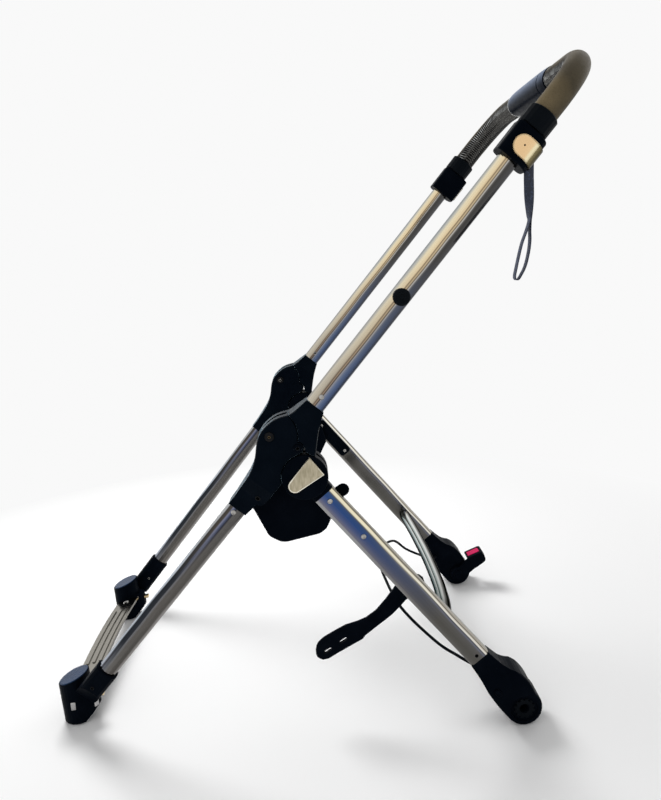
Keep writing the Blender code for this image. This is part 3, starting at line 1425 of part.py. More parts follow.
def make_pedal_insert():
    """Coloured insert let into the top of the brake pedal."""
    axis = bpy.data.objects["brake_pedal_axis"]
    insert = insert_box("pedal_insert", 0.0, 0.0, 0.0, PARTS, axis)
    round_edges(insert, 0.0005, 1)
    return finish(insert, "crimson")


def make_rear_bow():
    """Round bow between the rear legs, with its flattened ends on their inner faces."""
    end = HALF_TRACK - REAR_TUBE_WIDTH / 2 - BOW_END_GAP
    bulge = ((end, 0.0), (0.185, 0.003), (0.14, 0.0140), (0.09, 0.0215), (0.045, 0.0255), (0.0, BOW_BULGE))
    right = [(-x, u) for x, u in bulge]
    points = smooth_line(list(bulge)[:-1] + right[::-1], 2)
    along = REAR_FRAME.to_3x3() @ Vector((1.0, 0.0, 0.0))
    origin = REAR_FRAME @ Vector((BOW_DISTANCE, 0.0, 0.0))
    frame = frame_matrix(origin, (1.0, 0.0, 0.0), along)
    return finish(sweep("rear_bow", points, BOW_RADIUS, frame, 2, PARTS, REAR_AXIS), "chrome")


def latch_pivot():
    return REAR_FRAME @ Vector((LATCH_PIVOT_DISTANCE, 0.0, 0.0))


def make_latch_arm():
    """Curved latch arm on the inner face of the left rear leg, with two slots near its tip."""
    name = "latch_arm"
    pivot = latch_pivot()
    axis = make_empty(name + "_axis", pivot + Vector((LATCH_INNER_X, 0.0, 0.0)), REAR_AXIS)
    head = arc((pivot.y, pivot.z), 0.0125, 150.0, -55.0, 7)
    lower = [(0.1242, 0.1691), (0.1050, 0.1490), (0.0834, 0.1327), (0.0655, 0.1190)]
    under = [(0.0616, 0.1138), (0.0255, 0.0945), (0.0122, 0.0868)]
    tip = [(0.0039, 0.0852), (-0.0041, 0.0901), (-0.0059, 0.1005), (-0.0019, 0.1118), (0.0079, 0.1200)]
    upper = [(0.0223, 0.1280), (0.0379, 0.1358), (0.0544, 0.1402), (0.0674, 0.1452), (0.0818, 0.1556)]
    upper += [(0.0964, 0.1721), (0.1097, 0.1900)]
    outline = head + smooth_line(lower, 2) + under + smooth_line(tip, 2) + upper
    low, high = LATCH_INNER_X, LATCH_INNER_X + LATCH_THICKNESS
    body = prism(name, [outline], low, high, side_frame(0.0, 0.0, 0.0), PARTS, axis)
    round_rims(body, 0.0012, 1)
    hole_frame = side_frame(pivot.y, pivot.z, 0.0)
    radius = LATCH_PIN_RADIUS + RUNNING_GAP
    boolean(body, cylinder(name + "_hole", radius, low - 0.01, high + 0.01, hole_frame, 12, CUTTERS))
    for index, (y, z) in enumerate(((0.0114, 0.0996), (0.0337, 0.1138))):
        slot = rounded_rectangle(0.013, 0.0042, 0.0021, 2)
        place = side_frame(y, z, 32.0)
        boolean(body, prism(f"{name}_slot_{index}", [slot], low - 0.01, high + 0.01, place, CUTTERS))
    return finish(body, "plastic")


def make_latch_pin():
    """Shouldered pin that carries the latch arm on the rear leg."""
    low, high = LATCH_INNER_X, LATCH_INNER_X + LATCH_THICKNESS
    leg_face = HALF_TRACK - REAR_TUBE_WIDTH / 2
    head, shaft = LATCH_HEAD_RADIUS, LATCH_PIN_RADIUS
    profile = [
        (0.0, leg_face - GAP),
        (head, leg_face - GAP),
        (head, high + GAP),
        (shaft, high + GAP),
        (shaft, low - GAP),
        (head, low - GAP),
        (head - 0.0008, low - GAP - 0.0016),
        (0.0, low - GAP - 0.0016),
    ]
    pivot = latch_pivot()
    matrix = side_frame(pivot.y, pivot.z, 0.0)
    return finish(turned("latch_pin", profile, matrix, 12, PARTS, REAR_AXIS), "steel")


def make_safety_catch():
    """Finger tab beside the left hinge, on a pin of the guard panel."""
    name = "safety_catch"
    pivot = Vector((CATCH_INNER_X, CATCH_PIVOT_Y, CATCH_PIVOT_Z))
    axis = make_empty(name + "_axis", pivot, CHASSIS)
    reach = Vector((CATCH_TIP_Y - CATCH_PIVOT_Y, CATCH_TIP_Z - CATCH_PIVOT_Z))
    angle = math.degrees(math.atan2(reach.y, reach.x))
    tip = (reach.length, 0.0)
    outline = arc((0.0, 0.0), 0.0062, 95.0, 265.0, 6) + arc(tip, 0.0085, -95.0, 95.0, 8)
    frame = side_frame(CATCH_PIVOT_Y, CATCH_PIVOT_Z, angle)
    low, high = CATCH_INNER_X, CATCH_INNER_X + CATCH_THICKNESS
    body = prism(name, [outline], low, high, frame, PARTS, axis)
    round_rims(body, 0.0010, 1)
    radius = CATCH_PIN_RADIUS + RUNNING_GAP
    boolean(body, cylinder(name + "_hole", radius, low - 0.01, high + 0.01, frame, 12, CUTTERS))
    return finish(body, "plastic")


CABLE_ROUTE = (
    (0.1892, 0.2275, 0.0613),
    (0.1875, 0.2180, 0.0638),
    (0.1780, 0.1972, 0.0736),
    (0.1620, 0.1690, 0.0888),
    (0.1200, 0.1256, 0.1224),
    (0.0500, 0.1095, 0.1382),
    (0.0000, 0.1064, 0.1451),
    (-0.0500, 0.1143, 0.1492),
    (-0.1200, 0.1435, 0.1316),
    (-0.1620, 0.1709, 0.0968),
    (-0.1780, 0.1971, 0.0771),
    (-0.1875, 0.2180, 0.0640),
    (-0.1892, 0.2275, 0.0613),
)


def make_brake_cable():
    """Brake cable that runs from one hub to the other, held at both ends."""
    depths = (CABLE_SEAT_DEPTH - GAP, 0.0005, -0.0035)
    first = [cable_seat(LEFT, depth) for depth in depths]
    last = [cable_seat(RIGHT, depth) for depth in reversed(depths)]
    points = smooth_line([*first, *CABLE_ROUTE, *last], 2)
    return finish(sweep("brake_cable", points, CABLE_RADIUS, FLAT, 1, PARTS, REAR_AXIS), "rubber")


def band_rows(data, stations, width):
    """Rows of four corners of a flat band, each at a station: a place, a direction across, a
    normal and half the thickness there."""
    rows = []
    for place, across, normal, half in stations:
        row = []
        for sign_w, sign_t in ((1, -1), (-1, -1), (-1, 1), (1, 1)):
            row.append(data.verts.new(place + sign_w * across * width / 2 + sign_t * normal * half))
        rows.append(row)
    return rows


def join_rows(data, rows):
    for first, second in zip(rows, rows[1:]):
        for corner in range(4):
            other = (corner + 1) % 4
            data.faces.new((first[corner], first[other], second[other], second[corner]))


def make_wrist_strap():
    """Webbing loop that hangs from the left collar: two layers sewn to each other, which turn a
    quarter below the collar and part into a long eye."""
    top = Vector((STRAP_X, STRAP_TOP_Y, STRAP_TOP_Z))
    stem = [(top, Vector((0.0, 1.0, 0.0)), Vector((-1.0, 0.0, 0.0)), STRAP_THICKNESS)]
    for step in range(STRAP_TWIST_STEPS + 1):
        share = step / STRAP_TWIST_STEPS
        turn = math.radians(90.0 * share)
        place = top + Vector((0.0, STRAP_SWAY * share, -STRAP_STRAIGHT - STRAP_TWIST * share))
        across = Vector((math.sin(turn), math.cos(turn), 0.0))
        stem.append((place, across, Vector((-math.cos(turn), math.sin(turn), 0.0)), STRAP_THICKNESS))
    data = bmesh.new()
    rows = band_rows(data, stem, STRAP_WIDTH)
    join_rows(data, rows[:-1])
    data.faces.new(rows[0])

    fork = stem[-1][0]
    eye = [Vector((0.0, y, z)) + fork for y, z in smooth_line(STRAP_EYE, 2)]
    flat = Vector((1.0, 0.0, 0.0))
    stations = []
    for index, place in enumerate(eye[1:-1], 1):
        ahead = (eye[index + 1] - eye[index - 1]).normalized()
        stations.append((place, flat, Vector((0.0, -ahead.z, ahead.y)), STRAP_THICKNESS / 2))
    loop = band_rows(data, stations, STRAP_WIDTH)
    last = rows[-1]
    middle = [data.verts.new(fork + sign * flat * STRAP_WIDTH / 2) for sign in (1, -1)]
    before = rows[-2]
    data.faces.new((before[0], before[1], last[1], last[0]))
    data.faces.new((before[2], before[3], last[3], last[2]))
    data.faces.new((before[3], before[0], last[0], middle[0], last[3]))
    data.faces.new((before[1], before[2], last[2], middle[1], last[1]))
    front = [last[0], last[1], middle[1], middle[0]]
    back = [last[3], last[2], middle[1], middle[0]]
    join_rows(data, [front, *loop, back])
    strap = from_bmesh("wrist_strap", data, FLAT, PARTS, FOLD_AXIS)
    return finish(strap, "webbing")


def build():
    for side, label in SIDES:
        make_hinge_body(side, label)
        make_fold_bolt(side, label)
        make_rear_bolt(side, label)
        make_lock_bolt(side, label)
        make_guard(side, label)
        make_front_leg(side, label)
        make_front_socket(side, label)
        make_socket_cap(side, label)
        make_castor_release(side, label)
        make_push_knuckle(side, label)
        make_push_tube(side, label)
        make_bumper(side, label)
        make_collar(side, label)
        make_fold_trigger(side, label)
        make_grip(side, label)
        make_grip_ring(side, label)
        make_rear_knuckle(side, label)
        make_badge_plate(side, label)
        make_rear_leg(side, label)
        make_leg_bracket(side, label)
        make_rear_hub(side, label)
        make_hub_ring(side, label)
        make_axle_release(side, label)
    make_foot_plate()
    make_handle_bar()
    make_handle_sleeve()
    make_rear_bow()
    make_brake_cable()
    make_brake_pedal()
    make_pedal_insert()
    make_latch_arm()
    make_latch_pin()
    make_safety_catch()
    make_wrist_strap()


build()
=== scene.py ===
"""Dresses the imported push-chair chassis: finishes, small fittings, floor, light and camera.

All places are in the chassis's own metres: +X to its left-hand side, +Y towards the handle,
+Z up, with the floor at zero. A place in the plane of a side frame is written along a member
(u), square to it (v) and across the chassis (x).
"""

import logging
import math
from dataclasses import dataclass
from enum import Enum
from typing import Sequence

import bmesh
import bpy
from mathutils import Matrix, Vector
from mathutils.bvhtree import BVHTree


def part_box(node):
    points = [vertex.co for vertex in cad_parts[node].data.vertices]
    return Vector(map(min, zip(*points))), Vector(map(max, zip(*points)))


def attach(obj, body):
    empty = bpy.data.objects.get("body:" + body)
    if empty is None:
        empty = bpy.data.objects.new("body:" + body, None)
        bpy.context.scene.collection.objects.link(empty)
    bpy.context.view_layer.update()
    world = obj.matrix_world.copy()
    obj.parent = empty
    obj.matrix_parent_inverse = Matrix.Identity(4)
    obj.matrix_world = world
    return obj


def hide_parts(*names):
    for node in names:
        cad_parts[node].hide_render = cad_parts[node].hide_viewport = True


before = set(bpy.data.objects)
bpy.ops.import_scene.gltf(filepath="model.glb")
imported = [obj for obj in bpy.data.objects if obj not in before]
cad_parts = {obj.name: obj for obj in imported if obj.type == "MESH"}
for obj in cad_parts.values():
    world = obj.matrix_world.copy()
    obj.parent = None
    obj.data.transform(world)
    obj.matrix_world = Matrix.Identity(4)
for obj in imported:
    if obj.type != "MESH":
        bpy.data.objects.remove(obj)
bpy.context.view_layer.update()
LOG = logging.getLogger("chassis")

Colour = tuple[float, float, float]
Stops = tuple[tuple[float, Colour], ...]
Socket = bpy.types.NodeSocket


class Body(Enum):
    """Moving bodies of the chassis, by their names in the frame."""

    FRONT = "front_frame"
    PUSH = "push_frame"
    HANDLE = "handle"
    REAR = "rear_frame"
    TRIGGER_LEFT = "fold_trigger_left"
    TRIGGER_RIGHT = "fold_trigger_right"


class Slot(Enum):
    """Material slots of the record; each new piece names one, though nothing reads it."""

    TUBE = "polished_tube"
    ALUMINIUM = "satin_aluminium"
    PLASTIC = "black_plastic"
    GLOSS = "gloss_cap"
    STEEL = "zinc_steel"
    CHAMPAGNE = "champagne_metal"
    LEATHER = "brown_leatherette"
    SATIN = "satin_black"
    CRIMSON = "crimson_insert"
    RUBBER = "black_rubber"
    WEBBING = "black_webbing"


class Side(Enum):
    """Left or right half of the chassis; the value is the sign of its X."""

    LEFT = 1
    RIGHT = -1

    @property
    def label(self) -> str:
        """Lower-case name used in node names."""
        return self.name.lower()

    @property
    def inwards(self) -> Vector:
        """Direction from outside this side frame towards the chassis's middle."""
        return Vector((-self.value, 0.0, 0.0))


@dataclass(frozen=True)
class Member:
    """Straight member that lies in the plane of a side frame.

    Its axis starts at a pivot and leaves it at an angle to +Y, measured towards +Z.
    """

    start_y: float
    start_z: float
    degrees: float

    def point(self, u: float, v: float, x: float) -> Vector:
        """Place of a point along and square to the member, at this X."""
        turn = math.radians(self.degrees)
        along, square = math.cos(turn), math.sin(turn)
        y = self.start_y + u * along - v * square
        return Vector((x, y, self.start_z + u * square + v * along))

    def along(self) -> Vector:
        """Direction of the member's axis."""
        turn = math.radians(self.degrees)
        return Vector((0.0, math.cos(turn), math.sin(turn)))

    def square(self) -> Vector:
        """Direction square to the axis, in the side frame's plane."""
        turn = math.radians(self.degrees)
        return Vector((0.0, -math.sin(turn), math.cos(turn)))


PUSH = Member(-0.0487, 0.4271, 49.35)
FRONT_LEG = Member(-0.0487, 0.4271, 229.6)
REAR_LEG = Member(-0.00677, 0.37105, -50.7)
HOUSING = Member(-0.3556, 0.00116, 93.0)

# Middle of the push tubes and grips, square to the push frame's line through its pivot.
HANDLE_OFFSET = -0.0232
GRIP_HEIGHT = PUSH.point(0.0, HANDLE_OFFSET, 0.0).dot(PUSH.square())
# Step of the ribs and stitches along a grip, and how far a rib leans, in steps per radian.
RIB_PITCH = 0.0042
RIB_LEAN = 0.55
# X of the starts of lines that seat a piece from outside the side frames, and from between them.
OUTSIDE = 0.30
BETWEEN = 0.16
SHARP_ANGLE = math.radians(38.0)
UP = Vector((0.0, 0.0, 1.0))


class Wiring:
    """Adds and links the nodes of one tree."""

    def __init__(self, tree: bpy.types.NodeTree) -> None:
        """Start on a tree.

        Args:
            tree: tree that the nodes go into.
        """
        self.tree = tree

    def add(self, kind: str, inputs: dict | None = None, **settings: object) -> bpy.types.Node:
        """Add one node.

        Args:
            kind: node type.
            inputs: value or socket for each input, by name or number.
            settings: properties of the node.

        Returns:
            The new node.
        """
        node = self.tree.nodes.new(kind)
        for key, value in settings.items():
            setattr(node, key, value)
        for key, value in (inputs or {}).items():
            self.feed(node.inputs[key], value)
        return node

    def feed(self, target: Socket, value: object) -> None:
        """Link a socket to an input, or set the input's own value."""
        if isinstance(value, bpy.types.NodeSocket):
            self.tree.links.new(value, target)
        elif isinstance(value, tuple) and len(value) == 3 and target.type == "RGBA":
            target.default_value = (*value, 1.0)
        else:
            target.default_value = value

    def math(self, operation: str, *inputs: object) -> Socket:
        """Result of one Math node with these inputs."""
        return self.add("ShaderNodeMath", dict(enumerate(inputs)), operation=operation).outputs[0]

    def product(self, first: object, *others: object) -> Socket:
        """Product of all these values."""
        for other in others:
            first = self.math("MULTIPLY", first, other)
        return first

    def ramp(self, value: Socket, stops: Stops) -> Socket:
        """Colour along a ramp with these stops."""
        node = self.add("ShaderNodeValToRGB", {"Fac": value})
        elements = node.color_ramp.elements
        while len(elements) < len(stops):
            elements.new(1.0)
        for element, (position, colour) in zip(elements, stops):
            element.position = position
            element.color = (*colour, 1.0)
        return node.outputs["Color"]


class Board(Wiring):
    """Wires the nodes of one new material. Coordinates are the piece's own metres at rest."""

    def __init__(self, name: str) -> None:
        """Start a material with a Principled shader.

        Args:
            name: name of the material.
        """
        self.material = bpy.data.materials.new(name)
        self.material.use_nodes = True
        super().__init__(self.material.node_tree)
        self.shader = self.tree.nodes["Principled BSDF"]
        self.place = self.add("ShaderNodeTexCoord").outputs["Object"]

    def surface(self, **values: object) -> None:
        """Set inputs of the shader; an underscore in a name stands for a space."""
        for key, value in values.items():
            self.feed(self.shader.inputs[key.replace("_", " ")], value)

    def vector(self, operation: str, *inputs: object) -> bpy.types.Node:
        """Vector Math node with these inputs."""
        return self.add("ShaderNodeVectorMath", dict(enumerate(inputs)), operation=operation)

    def dot(self, direction: Sequence[float], vector: Socket | None = None) -> Socket:
        """Distance along a direction."""
        return self.vector("DOT_PRODUCT", vector or self.place, tuple(direction)).outputs["Value"]

    def stretched(self, scale: Sequence[float]) -> Socket:
        """The piece's coordinates, each multiplied."""
        return self.vector("MULTIPLY", self.place, tuple(scale)).outputs[0]

    def combined(self, x: object, y: object, z: object) -> Socket:
        """A vector from three numbers or sockets."""
        return self.add("ShaderNodeCombineXYZ", {0: x, 1: y, 2: z}).outputs[0]

    def noise(self, scale: float, detail: float = 2.0, vector: Socket | None = None) -> Socket:
        """Noise from 0 to 1, with this many cells to the metre."""
        inputs = {"Vector": vector or self.place, "Scale": scale, "Detail": detail}
        return self.add("ShaderNodeTexNoise", inputs).outputs["Fac"]

    def cells(self, scale: float, vector: Socket | None = None) -> Socket:
        """Distance to the nearest cell's middle."""
        inputs = {"Vector": vector or self.place, "Scale": scale}
        return self.add("ShaderNodeTexVoronoi", inputs).outputs["Distance"]

    def spread(
        self, value: Socket, low: float, high: float, to_low: float = 0.0, to_high: float = 1.0
    ) -> Socket:
        """Map a range of values onto another, and hold it inside that."""
        inputs = {"Value": value, "From Min": low, "From Max": high}
        inputs |= {"To Min": to_low, "To Max": to_high}
        return self.add("ShaderNodeMapRange", inputs, clamp=True).outputs["Result"]

    def mixed(self, share: object, first: object, second: object, blend: str = "MIX") -> Socket:
        """One colour over another."""
        node = self.add("ShaderNodeMix", data_type="RGBA", blend_type=blend)
        for index, value in {0: share, 6: first, 7: second}.items():
            self.feed(node.inputs[index], value)
        return node.outputs[2]

    def bump(
        self, height: Socket, strength: float, distance: float, normal: Socket | None = None
    ) -> Socket:
        """Bump normal from a height."""
        inputs = {"Height": height, "Strength": strength, "Distance": distance}
        if normal is not None:
            inputs["Normal"] = normal
        return self.add("ShaderNodeBump", inputs).outputs["Normal"]

    def soft_edges(self, radius: float) -> tuple[Socket, Socket]:
        """Rounded normals at sharp edges.

        Args:
            radius: radius of the rounding.

        Returns:
            The rounded normal, and a mask that is 1 on the edges.
        """
        normal = self.add("ShaderNodeBevel", {"Radius": radius}, samples=4).outputs[0]
        true = self.add("ShaderNodeNewGeometry").outputs["Normal"]
        likeness = self.vector("DOT_PRODUCT", normal, true).outputs["Value"]
        return normal, self.spread(likeness, 0.80, 0.99, 1.0, 0.0)


def scaled(colour: Colour, factor: float, lift: float = 0.0, most: float = math.inf) -> Colour:
    """A colour with each channel multiplied, then lifted, and held at the most it may be."""
    return tuple(min(most, channel * factor + lift) for channel in colour)


@dataclass(frozen=True)
class MouldedFinish:
    """Moulded plastic or rubber with a fine grain, and a slight shine on worn edges.

    Where lit_way is given, the faces that look that way take on the colour lit, a painted
    highlight.
    """

    name: str
    colour: Colour
    roughness: float = 0.42
    grain: float = 1900.0
    depth: float = 0.00006
    edge: float = 0.0006
    gloss: float = 0.22
    rim: float = 0.0
    lit: Colour = (0.0, 0.0, 0.0)
    lit_way: tuple[float, float, float] = (0.0, 0.0, 0.0)

    def material(self) -> bpy.types.Material:
        """Build the material."""
        board = Board(self.name)
        normal, wear_and_sheen = board.soft_edges(self.edge)
        cloud = board.noise(35.0, 4.0)
        light = scaled(self.colour, 1.8, 0.002, 1.0)
        base = board.mixed(board.spread(cloud, 0.35, 0.75, 0.0, 0.55), self.colour, light)
        base = board.mixed(board.product(wear_and_sheen, 0.4), base, scaled(self.colour, 3.0, 0.012))
        # Painted highlight: faces turned towards lit_way are coloured lit.
        if any(self.lit_way):
            facing = board.spread(board.dot(self.lit_way, normal), 0.15, 0.98)
            base = board.mixed(board.math("POWER", facing, 2.2), base, self.lit)
        patches = board.noise(160.0, 3.0)
        board.surface(
            Base_Color=base,
            Roughness=board.spread(patches, 0.3, 0.7, self.roughness - 0.07, self.roughness + 0.08),
            Normal=board.bump(board.cells(self.grain), 0.35, self.depth, normal),
            Specular_IOR_Level=self.gloss,
            Specular_Tint=(0.5, 0.78, 1.0, 1.0),
            Sheen_Weight=self.rim,
            Sheen_Roughness=0.16,
            Sheen_Tint=(0.55, 0.82, 1.0, 1.0),
        )
        return board.material


@dataclass(frozen=True)
class MetalFinish:
    """Bare or anodised metal, drawn or brushed along one direction."""

    name: str
    colour: Colour
    shade: Colour
    roughness: float
    grain: tuple[float, float, float] = (300.0, 300.0, 300.0)
    edge: float = 0.0004

    def material(self) -> bpy.types.Material:
        """Build the material."""
        board = Board(self.name)
        normal, wear_and_sheen = board.soft_edges(self.edge)
        strokes = board.noise(1.0, 3.0, board.stretched(self.grain))
        cloud = board.noise(28.0, 3.0)
        base = board.mixed(board.spread(strokes, 0.3, 0.7), self.shade, self.colour)
        base = board.mixed(board.spread(cloud, 0.45, 0.8, 0.0, 0.5), base, self.shade)
        bright = scaled(self.colour, 1.3, most=1.0)
        base = board.mixed(board.product(wear_and_sheen, 0.5), base, bright)
        board.surface(
            Base_Color=base,
            Metallic=1.0,
            Roughness=board.spread(cloud, 0.3, 0.7, self.roughness - 0.05, self.roughness + 0.07),
            Normal=board.bump(strokes, 0.25, 0.00003, normal),
        )
        return board.material


@dataclass(frozen=True)
class TubeFinish:
    """Polished tube whose colour carries painted reflections: long streaks of warm, dark and blue.

    The streaks run along the tube. They are given across its depth, from one edge to the
    other, once for the start of the tube and once for its end.
    """

    name: str
    member: Member
    offset: float
    depth: float
    first: Stops
    last: Stops
    change: tuple[float, float]
    foot: Stops = ()
    foot_change: tuple[float, float] = (0.0, 1.0)
    roughness: float = 0.13

    def material(self) -> bpy.types.Material:
        """Build the material."""
        board = Board(self.name)
        origin = self.member.point(0.0, self.offset, 0.0)
        along, square = self.member.along(), self.member.square()
        u = board.math("SUBTRACT", board.dot(along), along.dot(origin))
        v = board.math("SUBTRACT", board.dot(square), square.dot(origin))
        wander = board.noise(1.0, 2.0, board.combined(board.product(u, 5.0), 0.0, 0.0))
        shift = board.spread(wander, 0.3, 0.7, 0.45, 0.55)
        across = board.math("ADD", board.math("DIVIDE", v, self.depth), shift)
        share = board.spread(u, *self.change)
        # Painted reflection: ramps across the tube's depth colour it like mirrored surroundings.
        painted_reflection = board.mixed(share, board.ramp(across, self.first), board.ramp(across, self.last))
        if self.foot:
            share = board.spread(u, *self.foot_change)
            painted_reflection = board.mixed(share, painted_reflection, board.ramp(across, self.foot))
        lines = board.combined(
            board.product(u, 6.0),
            board.product(v, 1400.0),
            board.dot((1400.0, 0.0, 0.0)),
        )
        drawn = board.noise(1.0, 3.0, lines)
        scratches = board.spread(drawn, 0.4, 0.7, 0.0, 0.22)
        base = board.mixed(scratches, painted_reflection, (0.45, 0.44, 0.43), "MULTIPLY")
        board.surface(
            Base_Color=base,
            Metallic=1.0,
            Roughness=board.spread(wander, 0.3, 0.7, self.roughness - 0.02, self.roughness + 0.05),
            Normal=board.bump(drawn, 0.06, 0.00001),
            Specular_Tint=(0.6, 0.6, 0.6, 1.0),
        )
        return board.material


@dataclass(frozen=True)
class StreakFinish:
    """Bright rolled metal whose colour carries painted reflections, in streaks that follow the way
    each part of it faces.
    """

    name: str
    direction: tuple[float, float, float]
    streaks: Stops
    roughness: float = 0.16
    edge: float = 0.0004
    grazing: float = 0.6

    def material(self) -> bpy.types.Material:
        """Build the material."""
        board = Board(self.name)
        rounded_normal, _ = board.soft_edges(self.edge)
        # Painted reflection: the colour comes from the ramp by the way each face turns.
        facing = board.dot(self.direction, rounded_normal)
        cloud = board.noise(14.0, 2.0)
        turned = board.math("MULTIPLY_ADD", facing, 0.5, 0.5)
        place = board.math("ADD", turned, board.spread(cloud, 0.3, 0.7, -0.02, 0.02))
        fine = board.noise(900.0, 2.0)
        board.surface(
            Base_Color=board.ramp(place, self.streaks),
            Metallic=1.0,
            Roughness=board.spread(cloud, 0.3, 0.7, self.roughness - 0.02, self.roughness + 0.06),
            Normal=board.bump(fine, 0.05, 0.00001, rounded_normal),
            Specular_Tint=(self.grazing, self.grazing, self.grazing, 1.0),
        )
        return board.material


@dataclass(frozen=True)
class LeatherFinish:
    """Dark leatherette with pebbled grain and creases, smooth on its outer side, where a painted
    warm sheen and golden highlight lie.
    """

    name: str
    colour: Colour
    wear_and_sheen: Colour
    golden_highlight: Colour
    glint: Colour = (0.62, 0.63, 0.62)

    def material(self) -> bpy.types.Material:
        """Build the material. The UV map is in metres along, and in turns from the inner seam."""
        board = Board(self.name)
        parts = board.add("ShaderNodeSeparateXYZ", {0: board.add("ShaderNodeUVMap").outputs["UV"]})
        turn = parts.outputs["Y"]
        pebble = board.cells(700.0)
        crease = board.noise(220.0, 5.0)
        cloud = board.noise(24.0, 3.0)
        outer = board.spread(turn, 0.16, 0.36)
        # Painted warm sheen over the outer side of the grip.
        wear_and_sheen = board.product(outer, board.spread(cloud, 0.25, 0.75, 0.55, 1.0))
        base = board.mixed(wear_and_sheen, self.colour, self.wear_and_sheen)
        # Painted golden highlight in broad patches on the outer side.
        patches = board.spread(board.noise(11.0, 2.0), 0.5, 0.75, 0.0, 0.8)
        base = board.mixed(board.product(outer, patches), base, self.golden_highlight)
        base = board.mixed(board.spread(pebble, 0.0, 0.5, 0.3, 0.0), base, scaled(self.colour, 0.4))
        # Painted glints on the rib ridges.
        base = board.mixed(self.glints(board, parts.outputs["X"], turn), base, self.glint)
        height = board.math("ADD", pebble, board.product(crease, 0.8))
        board.surface(
            Base_Color=base,
            Roughness=board.spread(cloud, 0.3, 0.8, 0.46, 0.34),
            Normal=board.bump(height, 0.3, 0.0002),
            Specular_IOR_Level=0.05,
            Sheen_Weight=0.02,
            Sheen_Roughness=0.4,
            Sheen_Tint=(0.9, 0.75, 0.5, 1.0),
        )
        return board.material

    def glints(self, board: Board, along: Socket, turn: Socket) -> Socket:
        """Mask of the painted glints on the ridges between the ribs, on the upper half of the inner
        side.

        Args:
            board: wiring of the material.
            along: metres along the grip.
            turn: turns from the inner seam.

        Returns:
            The mask, 1 on the ridges.
        """
        lean = board.product(turn, 2.0 * math.pi * RIB_LEAN)
        slant = board.math("ADD", board.math("DIVIDE", along, RIB_PITCH), lean)
        ridge = board.math("COSINE", board.product(slant, 2.0 * math.pi))
        ridge = board.spread(ridge, -0.35, -0.95)
        near = board.spread(turn, 0.035, 0.075)
        far = board.spread(turn, 0.13, 0.19, 1.0, 0.0)
        upper = board.spread(board.dot(PUSH.square()), GRIP_HEIGHT, GRIP_HEIGHT + 0.004, 0.12, 1.0)
        patchy = board.spread(board.noise(60.0, 2.0), 0.35, 0.6, 0.25, 1.0)
        return board.product(near, far, ridge, upper, patchy)


@dataclass(frozen=True)
class WebbingFinish:
    """Flat woven webbing: ribs across the band, with a silky sheen."""

    name: str
    colour: Colour
    thread: Colour
    pitch: float = 0.0011

    def material(self) -> bpy.types.Material:
        """Build the material. The band's own UV map is in metres along and across."""
        board = Board(self.name)
        weave = board.add("ShaderNodeUVMap").outputs["UV"]
        parts = board.add("ShaderNodeSeparateXYZ", {0: weave})
        turns = 2.0 * math.pi / self.pitch
        warp = board.math("SINE", board.product(parts.outputs["X"], turns))
        weft = board.math("SINE", board.product(parts.outputs["Y"], turns * 0.8))
        height = board.product(warp, weft)
        fuzz = board.noise(2600.0, 3.0)
        base = board.mixed(board.spread(height, -0.6, 0.9), self.colour, self.thread)
        base = board.mixed(board.spread(fuzz, 0.4, 0.7, 0.0, 0.4), base, self.thread)
        glints = board.spread(board.noise(420.0, 3.0), 0.55, 0.72, 0.0, 0.5)
        board.surface(
            Base_Color=board.mixed(glints, base, scaled(self.thread, 4.0)),
            Roughness=0.6,
            Normal=board.bump(height, 0.5, 0.0002),
            Sheen_Weight=0.12,
            Sheen_Roughness=0.35,
            Sheen_Tint=(0.55, 0.65, 0.95, 1.0),
        )
        return board.material


# Painted reflections: colour ramps across the tubes' depth, and over the ways that the bow, stem,
# foot plate and triggers face.
PUSH_UPPER: Stops = (
    (0.00, (0.30, 0.30, 0.30)),
    (0.06, (0.085, 0.085, 0.088)),
    (0.36, (0.060, 0.058, 0.055)),
    (0.43, (0.11, 0.105, 0.10)),
    (0.48, (0.55, 0.53, 0.49)),
    (0.53, (0.15, 0.11, 0.07)),
    (0.58, (0.66, 0.53, 0.34)),
    (0.64, (0.24, 0.17, 0.10)),
    (0.69, (0.80, 0.64, 0.40)),
    (0.86, (0.86, 0.75, 0.52)),
    (0.94, (0.58, 0.57, 0.50)),
    (1.00, (0.40, 0.42, 0.42)),
)
PUSH_LOWER: Stops = (
    (0.00, (0.16, 0.17, 0.20)),
    (0.09, (0.040, 0.050, 0.080)),
    (0.24, (0.075, 0.11, 0.21)),
    (0.38, (0.14, 0.18, 0.28)),
    (0.47, (0.30, 0.30, 0.33)),
    (0.51, (0.045, 0.032, 0.026)),
    (0.57, (0.34, 0.26, 0.19)),
    (0.61, (0.12, 0.08, 0.055)),
    (0.68, (0.44, 0.39, 0.31)),
    (0.88, (0.58, 0.53, 0.43)),
    (1.00, (0.44, 0.43, 0.41)),
)
REAR_UPPER: Stops = (
    (0.00, (0.30, 0.30, 0.30)),
    (0.12, (0.34, 0.34, 0.35)),
    (0.20, (0.16, 0.16, 0.22)),
    (0.34, (0.085, 0.11, 0.22)),
    (0.55, (0.030, 0.070, 0.21)),
    (0.74, (0.040, 0.080, 0.19)),
    (0.79, (0.15, 0.14, 0.12)),
    (0.83, (0.84, 0.78, 0.60)),
    (0.92, (0.88, 0.80, 0.57)),
    (0.955, (0.08, 0.065, 0.05)),
    (1.00, (0.45, 0.42, 0.34)),
)
